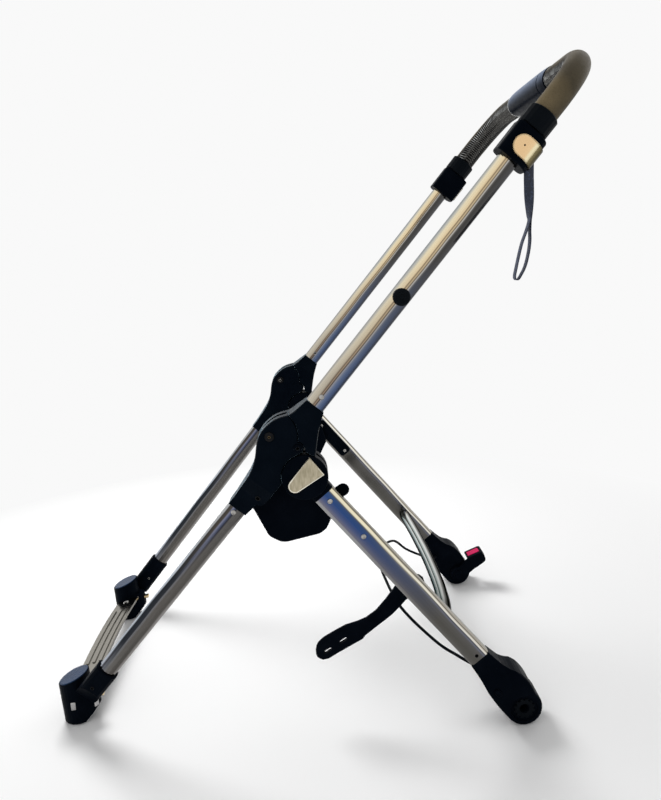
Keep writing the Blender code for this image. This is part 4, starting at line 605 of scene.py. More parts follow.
REAR_LOWER: Stops = (
    (0.00, (0.22, 0.21, 0.20)),
    (0.12, (0.135, 0.13, 0.12)),
    (0.40, (0.115, 0.11, 0.10)),
    (0.70, (0.14, 0.135, 0.13)),
    (0.79, (0.20, 0.21, 0.27)),
    (0.83, (0.035, 0.035, 0.035)),
    (0.87, (0.84, 0.82, 0.76)),
    (0.93, (0.70, 0.66, 0.55)),
    (0.96, (0.10, 0.085, 0.07)),
    (1.00, (0.45, 0.42, 0.36)),
)
FRONT_UPPER: Stops = (
    (0.00, (0.60, 0.62, 0.64)),
    (0.13, (0.50, 0.51, 0.52)),
    (0.18, (0.055, 0.050, 0.045)),
    (0.30, (0.075, 0.065, 0.055)),
    (0.36, (0.20, 0.21, 0.29)),
    (0.44, (0.08, 0.095, 0.16)),
    (0.52, (0.030, 0.032, 0.045)),
    (0.60, (0.12, 0.115, 0.11)),
    (0.88, (0.11, 0.105, 0.10)),
    (1.00, (0.30, 0.29, 0.28)),
)
FRONT_LOWER: Stops = (
    (0.00, (0.74, 0.78, 0.83)),
    (0.13, (0.66, 0.72, 0.80)),
    (0.18, (0.020, 0.024, 0.030)),
    (0.38, (0.028, 0.032, 0.038)),
    (0.43, (0.17, 0.17, 0.18)),
    (0.52, (0.115, 0.108, 0.10)),
    (0.88, (0.105, 0.098, 0.09)),
    (1.00, (0.26, 0.25, 0.24)),
)
FRONT_FOOT: Stops = (
    (0.00, (0.50, 0.53, 0.58)),
    (0.14, (0.36, 0.38, 0.45)),
    (0.22, (0.060, 0.060, 0.065)),
    (0.28, (0.19, 0.20, 0.23)),
    (0.50, (0.15, 0.145, 0.14)),
    (0.88, (0.12, 0.11, 0.10)),
    (1.00, (0.26, 0.25, 0.24)),
)
BOW_STREAKS: Stops = (
    (0.00, (0.10, 0.10, 0.10)),
    (0.12, (0.18, 0.19, 0.19)),
    (0.25, (0.42, 0.50, 0.50)),
    (0.36, (0.84, 0.86, 0.84)),
    (0.44, (0.50, 0.57, 0.56)),
    (0.54, (0.40, 0.46, 0.45)),
    (0.60, (0.70, 0.74, 0.72)),
    (0.70, (0.88, 0.88, 0.86)),
    (0.78, (0.50, 0.50, 0.49)),
    (0.88, (0.30, 0.30, 0.29)),
    (1.00, (0.12, 0.12, 0.12)),
)
PLATE_STREAKS: Stops = (
    (0.00, (0.05, 0.05, 0.05)),
    (0.45, (0.07, 0.065, 0.06)),
    (0.60, (0.24, 0.23, 0.21)),
    (0.80, (0.16, 0.15, 0.13)),
    (0.92, (0.30, 0.29, 0.26)),
    (1.00, (0.40, 0.38, 0.34)),
)
TRIGGER_STREAKS: Stops = (
    (0.00, (0.55, 0.53, 0.47)),
    (0.40, (0.10, 0.085, 0.055)),
    (0.62, (0.075, 0.062, 0.035)),
    (0.86, (0.10, 0.085, 0.045)),
    (0.93, (0.26, 0.21, 0.10)),
    (0.955, (0.88, 0.82, 0.56)),
    (0.98, (0.86, 0.66, 0.39)),
    (1.00, (0.80, 0.55, 0.30)),
)


class Finish(Enum):
    """Every finish of the chassis."""

    PLASTIC = MouldedFinish("moulded_black", (0.0012, 0.0022, 0.0044), 0.36, gloss=0.012)
    HINGE = MouldedFinish("hinge_black", (0.0010, 0.0022, 0.0048), 0.32, gloss=0.03, rim=1.0)
    DIM_BRASS = MetalFinish("bolt_socket_brass", (0.13, 0.095, 0.05), (0.06, 0.045, 0.025), 0.3)
    GREY_RING = MetalFinish("bolt_ring_grey", (0.075, 0.08, 0.085), (0.035, 0.037, 0.04), 0.3)
    RING = MouldedFinish("ring_black", (0.0020, 0.0024, 0.0034), 0.44, 2400.0, gloss=0.05)
    GLOSS = MouldedFinish(
        "cap_gloss", (0.010, 0.026, 0.066), 0.26, 900.0, 0.000002, 0.0012, gloss=0.12
    )
    RUBBER = MouldedFinish(
        "bumper_rubber", (0.0024, 0.0028, 0.0036), 0.50, 1500.0, 0.00008, gloss=0.06
    )
    # Painted highlight: the sleeve's lit colour lightens its faces turned up and forward.
    SATIN = MouldedFinish(
        "sleeve_satin", (0.0035, 0.0050, 0.0090), 0.34, 1100.0, 0.00001, 0.0005, gloss=0.02,
        lit=(0.15, 0.19, 0.28), lit_way=(0.0, -0.55, 0.835),
    )
    CRIMSON = MouldedFinish("tread_crimson", (0.55, 0.016, 0.095), 0.52, 700.0, 0.0002, gloss=0.1)
    TRIM = MouldedFinish("trim_white", (0.62, 0.62, 0.60), 0.4)
    # Painted reflections colour the stem, bow, triggers and foot plate by the way each face turns.
    STEM = StreakFinish("stem_polished", (0.0, -0.64, 0.77), BOW_STREAKS)
    BOW = StreakFinish("bow_polished", (0.0, 0.91, 0.41), BOW_STREAKS, 0.10, grazing=0.1)
    STEEL = MetalFinish("zinc_plated", (0.50, 0.49, 0.46), (0.26, 0.25, 0.24), 0.30)
    DARK_STEEL = MetalFinish("blackened_steel", (0.016, 0.016, 0.018), (0.008, 0.008, 0.008), 0.38)
    # Flat black that stands in for the depth of holes: painted shade.
    HOLE = MouldedFinish("hole_dark", (0.0008, 0.0009, 0.0012), 0.7, gloss=0.0)
    CHAMPAGNE = StreakFinish("trigger_left_anodised", (1.0, 0.0, 0.0), TRIGGER_STREAKS, 0.2, 0.004)
    CHAMPAGNE_RIGHT = StreakFinish(
        "trigger_right_anodised", (-1.0, 0.0, 0.0), TRIGGER_STREAKS, 0.2, 0.004
    )
    RELEASE = MetalFinish(
        "release_anodised", (0.84, 0.66, 0.38), (0.58, 0.43, 0.23), 0.24, (60.0, 200.0, 200.0)
    )
    BADGE = MetalFinish(
        "badge_satin", (0.56, 0.50, 0.37), (0.33, 0.29, 0.20), 0.33, (60.0, 420.0, 90.0)
    )
    BADGE_EDGE = MetalFinish(
        "badge_polished", (0.97, 0.95, 0.86), (0.84, 0.80, 0.68), 0.14, (60.0, 60.0, 60.0)
    )
    WINDOW = MetalFinish(
        "window_satin", (0.48, 0.47, 0.46), (0.24, 0.24, 0.25), 0.3, (400.0, 400.0, 400.0)
    )
    PLATE = StreakFinish("foot_plate_polished", (0.0, 0.0, 1.0), PLATE_STREAKS, 0.2, 0.0006)
    # The second and third colours are the painted warm sheen and golden highlight.
    LEATHER = LeatherFinish(
        "leatherette_brown", (0.006, 0.006, 0.006), (0.135, 0.112, 0.074), (0.26, 0.20, 0.11)
    )
    WEBBING = WebbingFinish("webbing_black", (0.004, 0.006, 0.012), (0.024, 0.034, 0.066))
    THREAD = WebbingFinish("stitch_thread", (0.03, 0.03, 0.028), (0.13, 0.125, 0.115), 0.0006)
    # Painted reflections streak the tubes; the right rear tube takes the lower set only.
    REAR_TUBE_RIGHT = TubeFinish(
        "rear_tube_right_polished", REAR_LEG, 0.0, 0.0305, REAR_LOWER, REAR_LOWER, (0.10, 0.27)
    )
    PUSH_TUBE = TubeFinish(
        "push_tube_polished", PUSH, HANDLE_OFFSET, 0.0270, PUSH_LOWER, PUSH_UPPER, (0.10, 0.30)
    )
    REAR_TUBE = TubeFinish(
        "rear_tube_polished", REAR_LEG, 0.0, 0.0305, REAR_UPPER, REAR_LOWER, (0.10, 0.27)
    )
    FRONT_TUBE = TubeFinish(
        "front_tube_polished", FRONT_LEG, 0.0244, 0.0264, FRONT_UPPER, FRONT_LOWER, (0.14, 0.24),
        FRONT_FOOT, (0.36, 0.44),
    )


@dataclass(frozen=True)
class Spot:
    """Place on a CAD node where a piece sits: the point that a line from outside meets.

    Attributes:
        node: node that carries the piece.
        body: body that the piece moves with.
        start: start of the line.
        way: direction of the line.
    """

    node: str
    body: Body
    start: Vector
    way: Vector


class Bench:
    """Makes new pieces from meshes and curves, and seats them on the CAD nodes."""

    def __init__(self) -> None:
        """Start with no materials made."""
        self.made: dict[Finish, bpy.types.Material] = {}
        self.trees: dict[str, BVHTree] = {}

    def material(self, finish: Finish) -> bpy.types.Material:
        """Material of a finish, made on first use."""
        if finish not in self.made:
            self.made[finish] = finish.value.material()
        return self.made[finish]

    def dress(self, finish: Finish, *nodes: str) -> None:
        """Give CAD nodes a finish in every material slot."""
        for node in nodes:
            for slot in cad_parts[node].material_slots:
                slot.material = self.material(finish)
            LOG.info("dressed %s in %s", node, finish.value.name)

    def seat(self, node: str, start: Vector, direction: Vector) -> tuple[Vector, Vector]:
        """Nearest place on a node along a line.

        Args:
            node: CAD node that carries the piece.
            start: where the line starts, outside the node.
            direction: way that it runs.

        Returns:
            The place that it hits, and the outward normal there.
        """
        if node not in self.trees:
            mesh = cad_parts[node].data
            corners = [vertex.co for vertex in mesh.vertices]
            faces = [face.vertices for face in mesh.polygons]
            self.trees[node] = BVHTree.FromPolygons(corners, faces)
        place, normal, _, _ = self.trees[node].ray_cast(start, direction.normalized())
        if place is None:
            raise ValueError(f"no face of {node} lies along the line from {tuple(start)}")
        if normal.dot(direction) > 0.0:
            normal = -normal
        return place, normal

    def frame(self, spot: Spot) -> Matrix:
        """Frame at a spot, with its Z outwards."""
        return Bench.facing(*self.seat(spot.node, spot.start, spot.way))

    def add(
        self, name: str, shape: bmesh.types.BMesh, body: Body, slot: Slot, finish: Finish
    ) -> bpy.types.Object:
        """Turn a mesh into a piece that rides on a body.

        Args:
            name: name of the piece.
            shape: its mesh, in the chassis's metres.
            body: body that it moves with.
            slot: slot of the record that its finish belongs to; not used.
            finish: finish that it is dressed in.

        Returns:
            The new object.
        """
        bmesh.ops.remove_doubles(shape, verts=shape.verts, dist=1e-6)
        bmesh.ops.recalc_face_normals(shape, faces=shape.faces)
        mesh = bpy.data.meshes.new(name)
        shape.to_mesh(mesh)
        shape.free()
        mesh.shade_smooth()
        mesh.materials.append(self.material(finish))
        piece = bpy.data.objects.new(name, mesh)
        bpy.context.scene.collection.objects.link(piece)
        mesh.set_sharp_from_angle(angle=SHARP_ANGLE)
        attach(piece, body.value)
        LOG.info("made %s on %s", name, body.value)
        return piece

    @staticmethod
    def facing(place: Vector, normal: Vector, upright: Vector = UP) -> Matrix:
        """Frame at a place whose Z is the normal and whose Y is as near upright as it can be."""
        depth = normal.normalized()
        across = upright.cross(depth).normalized()
        frame = Matrix((across, depth.cross(across), depth)).transposed().to_4x4()
        frame.translation = place
        return frame

    @staticmethod
    def lathe(
        profile: Sequence[tuple[float, float]], frame: Matrix, segments: int = 24
    ) -> bmesh.types.BMesh:
        """Solid of revolution about the frame's Z.

        Args:
            profile: radius and height of each point, from the bottom's middle to the top's.
            frame: where it stands.
            segments: steps round it.

        Returns:
            The mesh.
        """
        shape = bmesh.new()
        points = [shape.verts.new((radius, 0.0, height)) for radius, height in profile]
        edges = [shape.edges.new(pair) for pair in zip(points, points[1:])]
        bmesh.ops.spin(
            shape,
            geom=points + edges,
            cent=(0.0, 0.0, 0.0),
            axis=(0.0, 0.0, 1.0),
            angle=2.0 * math.pi,
            steps=segments,
            use_merge=True,
        )
        bmesh.ops.transform(shape, matrix=frame, verts=shape.verts)
        return shape

    @staticmethod
    def slab(
        outline: Sequence[tuple[float, float]], height: float, frame: Matrix, edge: float
    ) -> bmesh.types.BMesh:
        """Flat plate with an outline in the frame's XY plane.

        Args:
            outline: corners, anticlockwise.
            height: thickness, towards the frame's Z.
            frame: where it lies.
            edge: width of the bevel round its top.

        Returns:
            The mesh.
        """
        shape = bmesh.new()
        base = shape.faces.new([shape.verts.new((x, y, 0.0)) for x, y in outline])
        top = bmesh.ops.extrude_face_region(shape, geom=[base])["geom"]
        lifted = [item for item in top if isinstance(item, bmesh.types.BMVert)]
        bmesh.ops.translate(shape, verts=lifted, vec=(0.0, 0.0, height))
        rim = [line for line in shape.edges if all(end.co.z > height / 2 for end in line.verts)]
        bmesh.ops.bevel(shape, geom=rim, offset=edge, segments=2, profile=0.5, affect="EDGES")
        bmesh.ops.transform(shape, matrix=frame, verts=shape.verts)
        return shape

    @staticmethod
    def cord(
        points: Sequence[Vector],
        radius: float,
        sides: int,
        closed: bool = False,
        shape: bmesh.types.BMesh | None = None,
    ) -> bmesh.types.BMesh:
        """Round bar along points.

        Args:
            points: centre line.
            radius: radius of the bar.
            sides: sides of its section.
            closed: whether it joins its own start.
            shape: mesh that it is added to, if not a new one.

        Returns:
            The mesh.
        """
        shape = bmesh.new() if shape is None else shape
        rings = []
        last = len(points) - 1
        across = None
        for index, point in enumerate(points):
            ahead = points[(index + 1) % len(points)] if closed else points[min(index + 1, last)]
            behind = points[index - 1] if closed else points[max(index - 1, 0)]
            way = (ahead - behind).normalized()
            guide = across or (UP if abs(way.z) < 0.9 else Vector((0.0, 1.0, 0.0)))
            other = way.cross(guide).normalized()
            across = other.cross(way).normalized()
            ring = []
            for step in range(sides):
                turn = 2.0 * math.pi * step / sides
                out = math.cos(turn) * across + math.sin(turn) * other
                ring.append(shape.verts.new(point + radius * out))
            rings.append(ring)
        pairs = list(zip(rings, rings[1:])) + ([(rings[-1], rings[0])] if closed else [])
        for first, second in pairs:
            for step in range(sides):
                following = (step + 1) % sides
                shape.faces.new((first[step], first[following], second[following], second[step]))
        if not closed:
            shape.faces.new(rings[0][::-1])
            shape.faces.new(rings[-1])
        return shape

    @staticmethod
    def skin(rows: Sequence[Sequence[tuple[Vector, tuple[float, float]]]]) -> bmesh.types.BMesh:
        """Closed skin over rings of points.

        Args:
            rows: the rings, and each point in them with its place on the UV map.

        Returns:
            The mesh.
        """
        shape = bmesh.new()
        layer = shape.loops.layers.uv.new("UVMap")
        rings = [[(shape.verts.new(place), spot) for place, spot in row] for row in rows]
        for first, second in zip(rings, rings[1:]):
            for index in range(len(first)):
                following = (index + 1) % len(first)
                corners = (first[index], first[following], second[following], second[index])
                face = shape.faces.new([vertex for vertex, _ in corners])
                for loop, (_, spot) in zip(face.loops, corners):
                    loop[layer].uv = spot
        for ring in (rings[0], rings[-1]):
            shape.faces.new([vertex for vertex, _ in ring])
        return shape


def rounded(
    width: float, height: float, radius: float, steps: int = 4
) -> list[tuple[float, float]]:
    """Outline of a rectangle with round corners.

    Args:
        width: size along X.
        height: size along Y.
        radius: radius of the corners.
        steps: steps round each corner.

    Returns:
        Its points, anticlockwise.
    """
    points = []
    for quarter, (sign_x, sign_y) in enumerate(((1, 1), (-1, 1), (-1, -1), (1, -1))):
        for step in range(steps + 1):
            turn = math.radians(90.0 * (quarter + step / steps))
            x = sign_x * (width / 2 - radius) + radius * math.cos(turn)
            y = sign_y * (height / 2 - radius) + radius * math.sin(turn)
            points.append((x, y))
    return points


def arc(radius: float, start: float, sweep: float, steps: int) -> list[tuple[float, float]]:
    """Points on an arc round the origin, its two ends among them; its angles are in degrees."""
    turns = [math.radians(start + sweep * step / steps) for step in range(steps + 1)]
    return [(radius * math.cos(turn), radius * math.sin(turn)) for turn in turns]


def smooth(points: Sequence[Vector], steps: int) -> list[Vector]:
    """Points on a smooth curve through the given ones.

    Args:
        points: places that the curve passes.
        steps: points for each gap between two places.

    Returns:
        The curve's points, the given ones among them.
    """
    line = []
    for index in range(len(points) - 1):
        before, start = points[max(index - 1, 0)], points[index]
        end, after = points[index + 1], points[min(index + 2, len(points) - 1)]
        for step in range(steps):
            t = step / steps
            square = (2 * before - 5 * start + 4 * end - after) * t * t
            cube = (3 * start - before - 3 * end + after) * t**3
            line.append((2 * start + (end - before) * t + square + cube) / 2)
    line.append(points[-1].copy())
    return line


@dataclass
class Fasteners:
    """Domed rivets, socket screws and small rings that hold the tubes and housings."""

    bench: Bench
    rivet_radius: float = 0.0036
    rivet_height: float = 0.0020
    screw_radius: float = 0.0028
    screw_height: float = 0.0012
    screw_drive: float = 0.0012
    rear_upper: tuple[float, float] = (0.0475, 0.0006)
    rear_lower: tuple[float, float] = (0.1134, 0.0006)

    def build(self) -> None:
        """Place every fastener on both side frames."""
        for side in Side:
            self.rivets(side)
            self.bracket_screws(side)
            self.housing_screws(side)
            self.tube_hole(side)

    def head(self, radius: float, height: float, drive: float) -> list[tuple[float, float]]:
        """Profile of a domed head, with a round dimple in its top where it has a drive."""
        dome = [(radius, -0.0004), (radius, height * 0.25)]
        for step in range(1, 5):
            turn = math.radians(90.0 * step / 5)
            dome.append((radius * math.cos(turn) * 0.98, height * (0.25 + 0.75 * math.sin(turn))))
        if drive:
            dome = [point for point in dome if point[0] > drive]
            dome += [(drive, height * 0.95), (drive * 0.9, height * 0.35)]
            return dome + [(0.0, height * 0.30)]
        return dome + [(0.0, height)]

    def stud(self, name: str, spot: Spot, radius: float, height: float, drive: float = 0.0) -> None:
        """Seat one round steel head.

        Args:
            name: name of the piece.
            spot: where it sits.
            radius: radius of the head.
            height: height of the head.
            drive: radius of its drive, or zero.
        """
        shape = Bench.lathe(self.head(radius, height, drive), self.bench.frame(spot))
        self.bench.add(name, shape, spot.body, Slot.STEEL, Finish.STEEL)

    def rivets(self, side: Side) -> None:
        """Domed rivets in the outer faces of the tubes."""
        rows = (
            ("push_rivet", "push_tube", Body.PUSH, PUSH, (0.0788, -0.0222)),
            ("front_rivet", "front_leg_tube", Body.FRONT, FRONT_LEG, (0.1115, 0.0250)),
            ("rear_rivet_upper", "rear_leg_tube", Body.REAR, REAR_LEG, self.rear_upper),
            ("rear_rivet_lower", "rear_leg_tube", Body.REAR, REAR_LEG, self.rear_lower),
        )
        for name, node, body, member, place in rows:
            start = member.point(*place, side.value * OUTSIDE)
            spot = Spot(f"{node}_{side.label}", body, start, side.inwards)
            self.stud(f"{name}_{side.label}", spot, self.rivet_radius, self.rivet_height)

    def bracket_screws(self, side: Side) -> None:
        """Two screws in the inner face of the rear leg's bracket."""
        for name, place in (("upper", self.rear_upper), ("lower", self.rear_lower)):
            start = REAR_LEG.point(*place, side.value * BETWEEN)
            spot = Spot(f"rear_leg_bracket_{side.label}", Body.REAR, start, -side.inwards)
            label = f"bracket_screw_{name}_{side.label}"
            self.stud(label, spot, self.screw_radius, self.screw_height, self.screw_drive)

    def ringed(self, name: str, spot: Spot, radius: float, finish: Finish) -> None:
        """Seat a flat ring with a dark disc in it, painted shade for the hole of a hollow rivet or
        a socket screw.
        """
        frame = self.bench.frame(spot)
        inner = radius * 0.62
        ring = [(inner, -0.0004), (radius, -0.0004), (radius, 0.0005), (radius * 0.92, 0.0008)]
        ring += [(inner * 1.1, 0.0008), (inner, 0.0005), (inner, -0.0004)]
        self.bench.add(name, Bench.lathe(ring, frame), spot.body, Slot.STEEL, finish)
        floor = [(inner * 1.02, -0.0004), (inner * 1.02, 0.0001), (0.0, 0.0001)]
        self.dark(f"{name}_hole", spot.body, Bench.lathe(floor, frame))

    def dark(self, name: str, body: Body, shape: bmesh.types.BMesh) -> None:
        """Add a flat dark piece: painted shade that stands in for the depth of a hole."""
        self.bench.add(name, shape, body, Slot.PLASTIC, Finish.HOLE)

    def housing_screws(self, side: Side) -> None:
        """Screws and hollow rivets of the hinge housing, the front sleeve and the tubes."""
        inwards, outwards = side.inwards, -side.inwards
        far, near = side.value * OUTSIDE, side.value * BETWEEN
        bolt = f"fold_lock_bolt_{side.label}"
        lock = sum(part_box(bolt), Vector()) / 2
        hinge_screw, sleeve_screw = Vector((far, -0.0688, 0.3451)), Vector((far, -0.3195, 0.0712))
        sleeve_ring = Vector((side.value * 0.10, -0.3194, 0.0638))
        push_ring, pivot = PUSH.point(0.0785, -0.0215, near), PUSH.point(0.0, 0.0, near)
        socket, lock_ring = PUSH.point(0.0, 0.0, far), Vector((far, lock.y, lock.z))
        rows = (
            ("hinge_screw", "hinge_body", hinge_screw, inwards, 0.0036, Finish.DARK_STEEL),
            ("sleeve_screw", "front_socket", sleeve_screw, inwards, 0.0027, Finish.DARK_STEEL),
            ("sleeve_ring", "front_socket", sleeve_ring, outwards, 0.0021, Finish.STEEL),
            ("push_ring", "push_tube", push_ring, outwards, 0.0027, Finish.STEEL),
            ("pivot_ring", "fold_pivot_bolt", pivot, outwards, 0.0026, Finish.STEEL),
            ("pivot_socket", "fold_pivot_bolt", socket, inwards, 0.0019, Finish.DIM_BRASS),
            ("lock_ring", "fold_lock_bolt", lock_ring, inwards, 0.0034, Finish.GREY_RING),
        )
        for name, node, start, way, radius, finish in rows:
            body = Body.PUSH if node == "push_tube" else Body.FRONT
            spot = Spot(f"{node}_{side.label}", body, start, way)
            self.ringed(f"{name}_{side.label}", spot, radius, finish)
        body = Body[f"TRIGGER_{side.name}"]
        spot = Spot(body.value, body, Vector((far, 0.2736, 0.7631)), inwards)
        profile = [(0.0011, -0.0003), (0.0011, 0.0002), (0.0, 0.0002)]
        dot = Bench.lathe(profile, self.bench.frame(spot), 16)
        self.dark(f"trigger_dot_{side.label}", body, dot)

    def tube_hole(self, side: Side) -> None:
        """Dark disc near the lower end of the rear leg tube: painted shade for a button hole."""
        start = REAR_LEG.point(0.3474, 0.0, side.value * OUTSIDE)
        spot = Spot(f"rear_leg_tube_{side.label}", Body.REAR, start, side.inwards)
        profile = [(0.0025, -0.0005), (0.0025, 0.0001), (0.0022, 0.00015), (0.0, 0.00015)]
        shape = Bench.lathe(profile, self.bench.frame(spot))
        self.dark(f"leg_button_{side.label}", spot.body, shape)


@dataclass
class FrontFittings:
    """Bright windows in the front housings, and the clips on the foot plate."""

    bench: Bench
    window_width: float = 0.0066
    window_height: float = 0.0118
    window_corner: float = 0.0008
    window_sunk: float = 0.0009
    housing_x: float = 0.155
    housing_reach: float = 0.08
    clip_radius: float = 0.0042
    clip_above: tuple[float, float, float] = (0.1215, -0.3525, 0.12)

    def build(self) -> None:
        """Place the fittings on both housings."""
        width, tall = self.window_width, self.window_height
        for side in Side:
            self.window(side, "front", 0.0, 0.030, width, tall)
            self.window(side, "heel", 72.0, 0.0275, width * 1.2, tall * 1.1)
            self.clip(side)

    def window(
        self, side: Side, name: str, degrees: float, height: float, width: float, tall: float
    ) -> None:
        """Bright plate let into the round wall of a housing.

        Args:
            side: side of the chassis.
            name: which window.
            degrees: its turn round the housing, from straight outwards towards the rear.
            height: height over the floor.
            width: size round the housing.
            tall: size upwards.
        """
        turn = math.radians(degrees)
        way = Vector((-side.value * math.cos(turn), -math.sin(turn), 0.0))
        middle = HOUSING.point(height, 0.0, side.value * self.housing_x)
        start = middle - way * self.housing_reach
        place, normal = self.bench.seat(f"front_socket_{side.label}", start, way)
        frame = Bench.facing(place - normal * self.window_sunk, normal)
        shape = Bench.slab(rounded(width, tall, self.window_corner), 0.0013, frame, 0.0003)
        label = f"housing_window_{name}_{side.label}"
        self.bench.add(label, shape, Body.FRONT, Slot.ALUMINIUM, Finish.WINDOW)

    def clip(self, side: Side) -> None:
        """Open spring clip on the end of the foot plate."""
        x, y, z = self.clip_above
        place, normal = self.bench.seat("foot_plate", Vector((side.value * x, y, z)), -UP)
        frame = Bench.facing(place + normal * 0.0006, normal, Vector((0.0, 1.0, 0.0)))
        points = [frame @ Vector((*spot, 0.0)) for spot in arc(self.clip_radius, 40.0, 280.0, 14)]
        shape = Bench.cord(points, 0.0008, 8)
        self.bench.add(
            f"plate_clip_{side.label}", shape, Body.FRONT, Slot.STEEL, Finish.TRIM
        )


@dataclass
class Handle:
    """Leather grips with their laced inner seam, and the smooth centre sleeve."""

    bench: Bench
    half_track: float = 0.220
    crossbar: float = 0.603
    corner: float = 0.075
    offset: float = HANDLE_OFFSET
    grip_start: float = 0.5088
    grip_end: float = 0.0856
    grip_radius: float = 0.0167
    end_drop: float = 0.0008
    end_reach: float = 0.0025
    rib_depth: float = 0.00085
    rib_span: float = math.radians(88.0)
    seam_depth: float = 0.0006
    seam_span: float = math.radians(4.0)
    around: int = 48
    station_pitch: float = 0.0010
    stitch_pitch: float = RIB_PITCH
    stitch_radius: float = 0.00055
    stitch_swing: float = 36.0
    sleeve_half: float = 0.085
    sleeve_end_radius: float = 0.0170
    sleeve_radius: float = 0.0189
    sleeve_chamfer: float = 0.0008
    sleeve_groove: float = 0.024

    @property
    def straight(self) -> float:
        """Length of a grip's straight part before its bend."""
        return self.crossbar - self.corner - self.grip_start

    @property
    def bend(self) -> float:
        """Length of its bend."""
        return self.corner * math.pi / 2

    def length(self) -> float:
        """Length of a grip's centre line."""
        return self.straight + self.bend + self.half_track - self.corner - self.grip_end

    def station(self, side: Side, s: float) -> tuple[Vector, Vector]:
        """Place and direction at a distance along a grip's centre line.

        Args:
            side: side of the chassis.
            s: distance from the grip's lower end.

        Returns:
            The place, and the direction along the line there.
        """
        if s < self.straight:
            x, u, turn = self.half_track, self.grip_start + s, 0.0
        elif s < self.straight + self.bend:
            turn = (s - self.straight) / self.corner
            x = self.half_track - self.corner + self.corner * math.cos(turn)
            u = self.crossbar - self.corner + self.corner * math.sin(turn)
        else:
            turn = math.pi / 2
            x = self.half_track - self.corner - (s - self.straight - self.bend)
            u = self.crossbar
        way = Vector((-side.value * math.sin(turn), 0.0, 0.0)) + PUSH.along() * math.cos(turn)
        return PUSH.point(u, self.offset, side.value * x), way

    def build(self) -> None:
        """Make the grips, their seams, the sleeve and its trim."""
        for side in Side:
            self.grip(side)
            self.seam(side)
        self.sleeve()
        self.trim()

    def swell(self, s: float, turn: float) -> float:
        """Radius of a grip at a distance along it and an angle from its inner side."""
        ends = min(s, self.length() - s)
        radius = self.grip_radius - self.end_drop * max(0.0, 1.0 - ends / self.end_reach) ** 2
        away = abs(math.remainder(turn, 2.0 * math.pi))
        window = max(0.0, 1.0 - (away / self.rib_span) ** 4)
        slant = s / self.stitch_pitch + away * RIB_LEAN
        ribs = 0.5 + 0.5 * math.cos(2.0 * math.pi * slant)
        groove = math.exp(-((away / self.seam_span) ** 2))
        return radius - self.rib_depth * window * ribs - self.seam_depth * groove

    def surface(self, side: Side, s: float, turn: float, lift: float = 0.0) -> Vector:
        """Place on or over the surface of a grip.

        Args:
            side: side of the chassis.
            s: distance from the grip's lower end.
            turn: angle from its inner side, in radians.
            lift: height over the surface.

        Returns:
            The place.
        """
        place, way = self.station(side, s)
        up = PUSH.square()
        inward = way.cross(up) * -side.value
        out = inward * math.cos(turn) + up * math.sin(turn)
        return place + out * (self.swell(s, turn) + lift)

    def grip(self, side: Side) -> None:
        """Leather tube of one grip, gathered into ribs along its inner side."""
        length = self.length()
        count = round(length / self.station_pitch)
        rows = []
        for index in range(count + 1):
            s = length * index / count
            row = []
            for step in range(self.around):
                place = self.surface(side, s, 2.0 * math.pi * step / self.around)
                row.append((place, (s, min(step, self.around - step) / self.around)))
            rows.append(row)
        finish = Finish.LEATHER
        label = f"leather_grip_{side.label}"
        grip = self.bench.add(label, Bench.skin(rows), Body.HANDLE, Slot.LEATHER, finish)
        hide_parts(f"grip_{side.label}")

    def seam(self, side: Side) -> None:
        """Cross stitches along the inner side of one grip."""
        shape = bmesh.new()
        for index in range(int((self.length() - 0.006) / self.stitch_pitch)):
            middle = 0.005 + (index + 0.5) * self.stitch_pitch
            for lean in (1.0, -1.0):
                points = []
                for step in range(7):
                    share = step / 6 - 0.5
                    swing = math.radians(self.stitch_swing) * share * 2
                    s = middle + share * lean * self.stitch_pitch * 0.8
                    lift = self.stitch_radius * (0.75 if 0 < step < 6 else -0.6)
                    points.append(self.surface(side, s, swing, lift))
                Bench.cord(points, self.stitch_radius, 6, shape=shape)
        self.bench.add(
            f"grip_seam_{side.label}", shape, Body.HANDLE, Slot.LEATHER, Finish.THREAD
        )

    def sleeve_profile(self) -> list[tuple[float, float]]:
        """Radius and height of the sleeve from one end's middle to the other's."""
        end, half = self.sleeve_end_radius, self.sleeve_half
        wall = [(end - self.sleeve_chamfer, -half)]
        for step in range(29):
            height = half * (step / 14 - 1) * 0.985
            share = math.sqrt(max(0.0, 1.0 - (height / half) ** 4))
            wall.append((end + (self.sleeve_radius - end) * share, height))
        wall.append((end - self.sleeve_chamfer, half))
        groove = half - self.sleeve_groove
        rim = max(radius for radius, height in wall if abs(height - groove) < 0.006)
        cut = [(rim, groove - 0.0016), (rim - 0.0007, groove - 0.0010)]
        cut += [(rim - 0.0007, groove + 0.0006), (rim - 0.0002, groove + 0.0012)]
        wall = [point for point in wall if abs(point[1] - groove) > 0.003]
        return [(0.0, -half), *sorted(wall + cut, key=lambda point: point[1]), (0.0, half)]

    def sleeve(self) -> None:
        """Smooth swelling sleeve round the middle of the crossbar, with a shallow groove."""
        middle = PUSH.point(self.crossbar, self.offset, 0.0)
        frame = Bench.facing(middle, Vector((1.0, 0.0, 0.0)))
        shape = Bench.lathe(self.sleeve_profile(), frame, 56)
        finish = Finish.SATIN
        sleeve = self.bench.add("crossbar_sleeve", shape, Body.HANDLE, Slot.SATIN, finish)
        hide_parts("handle_sleeve")

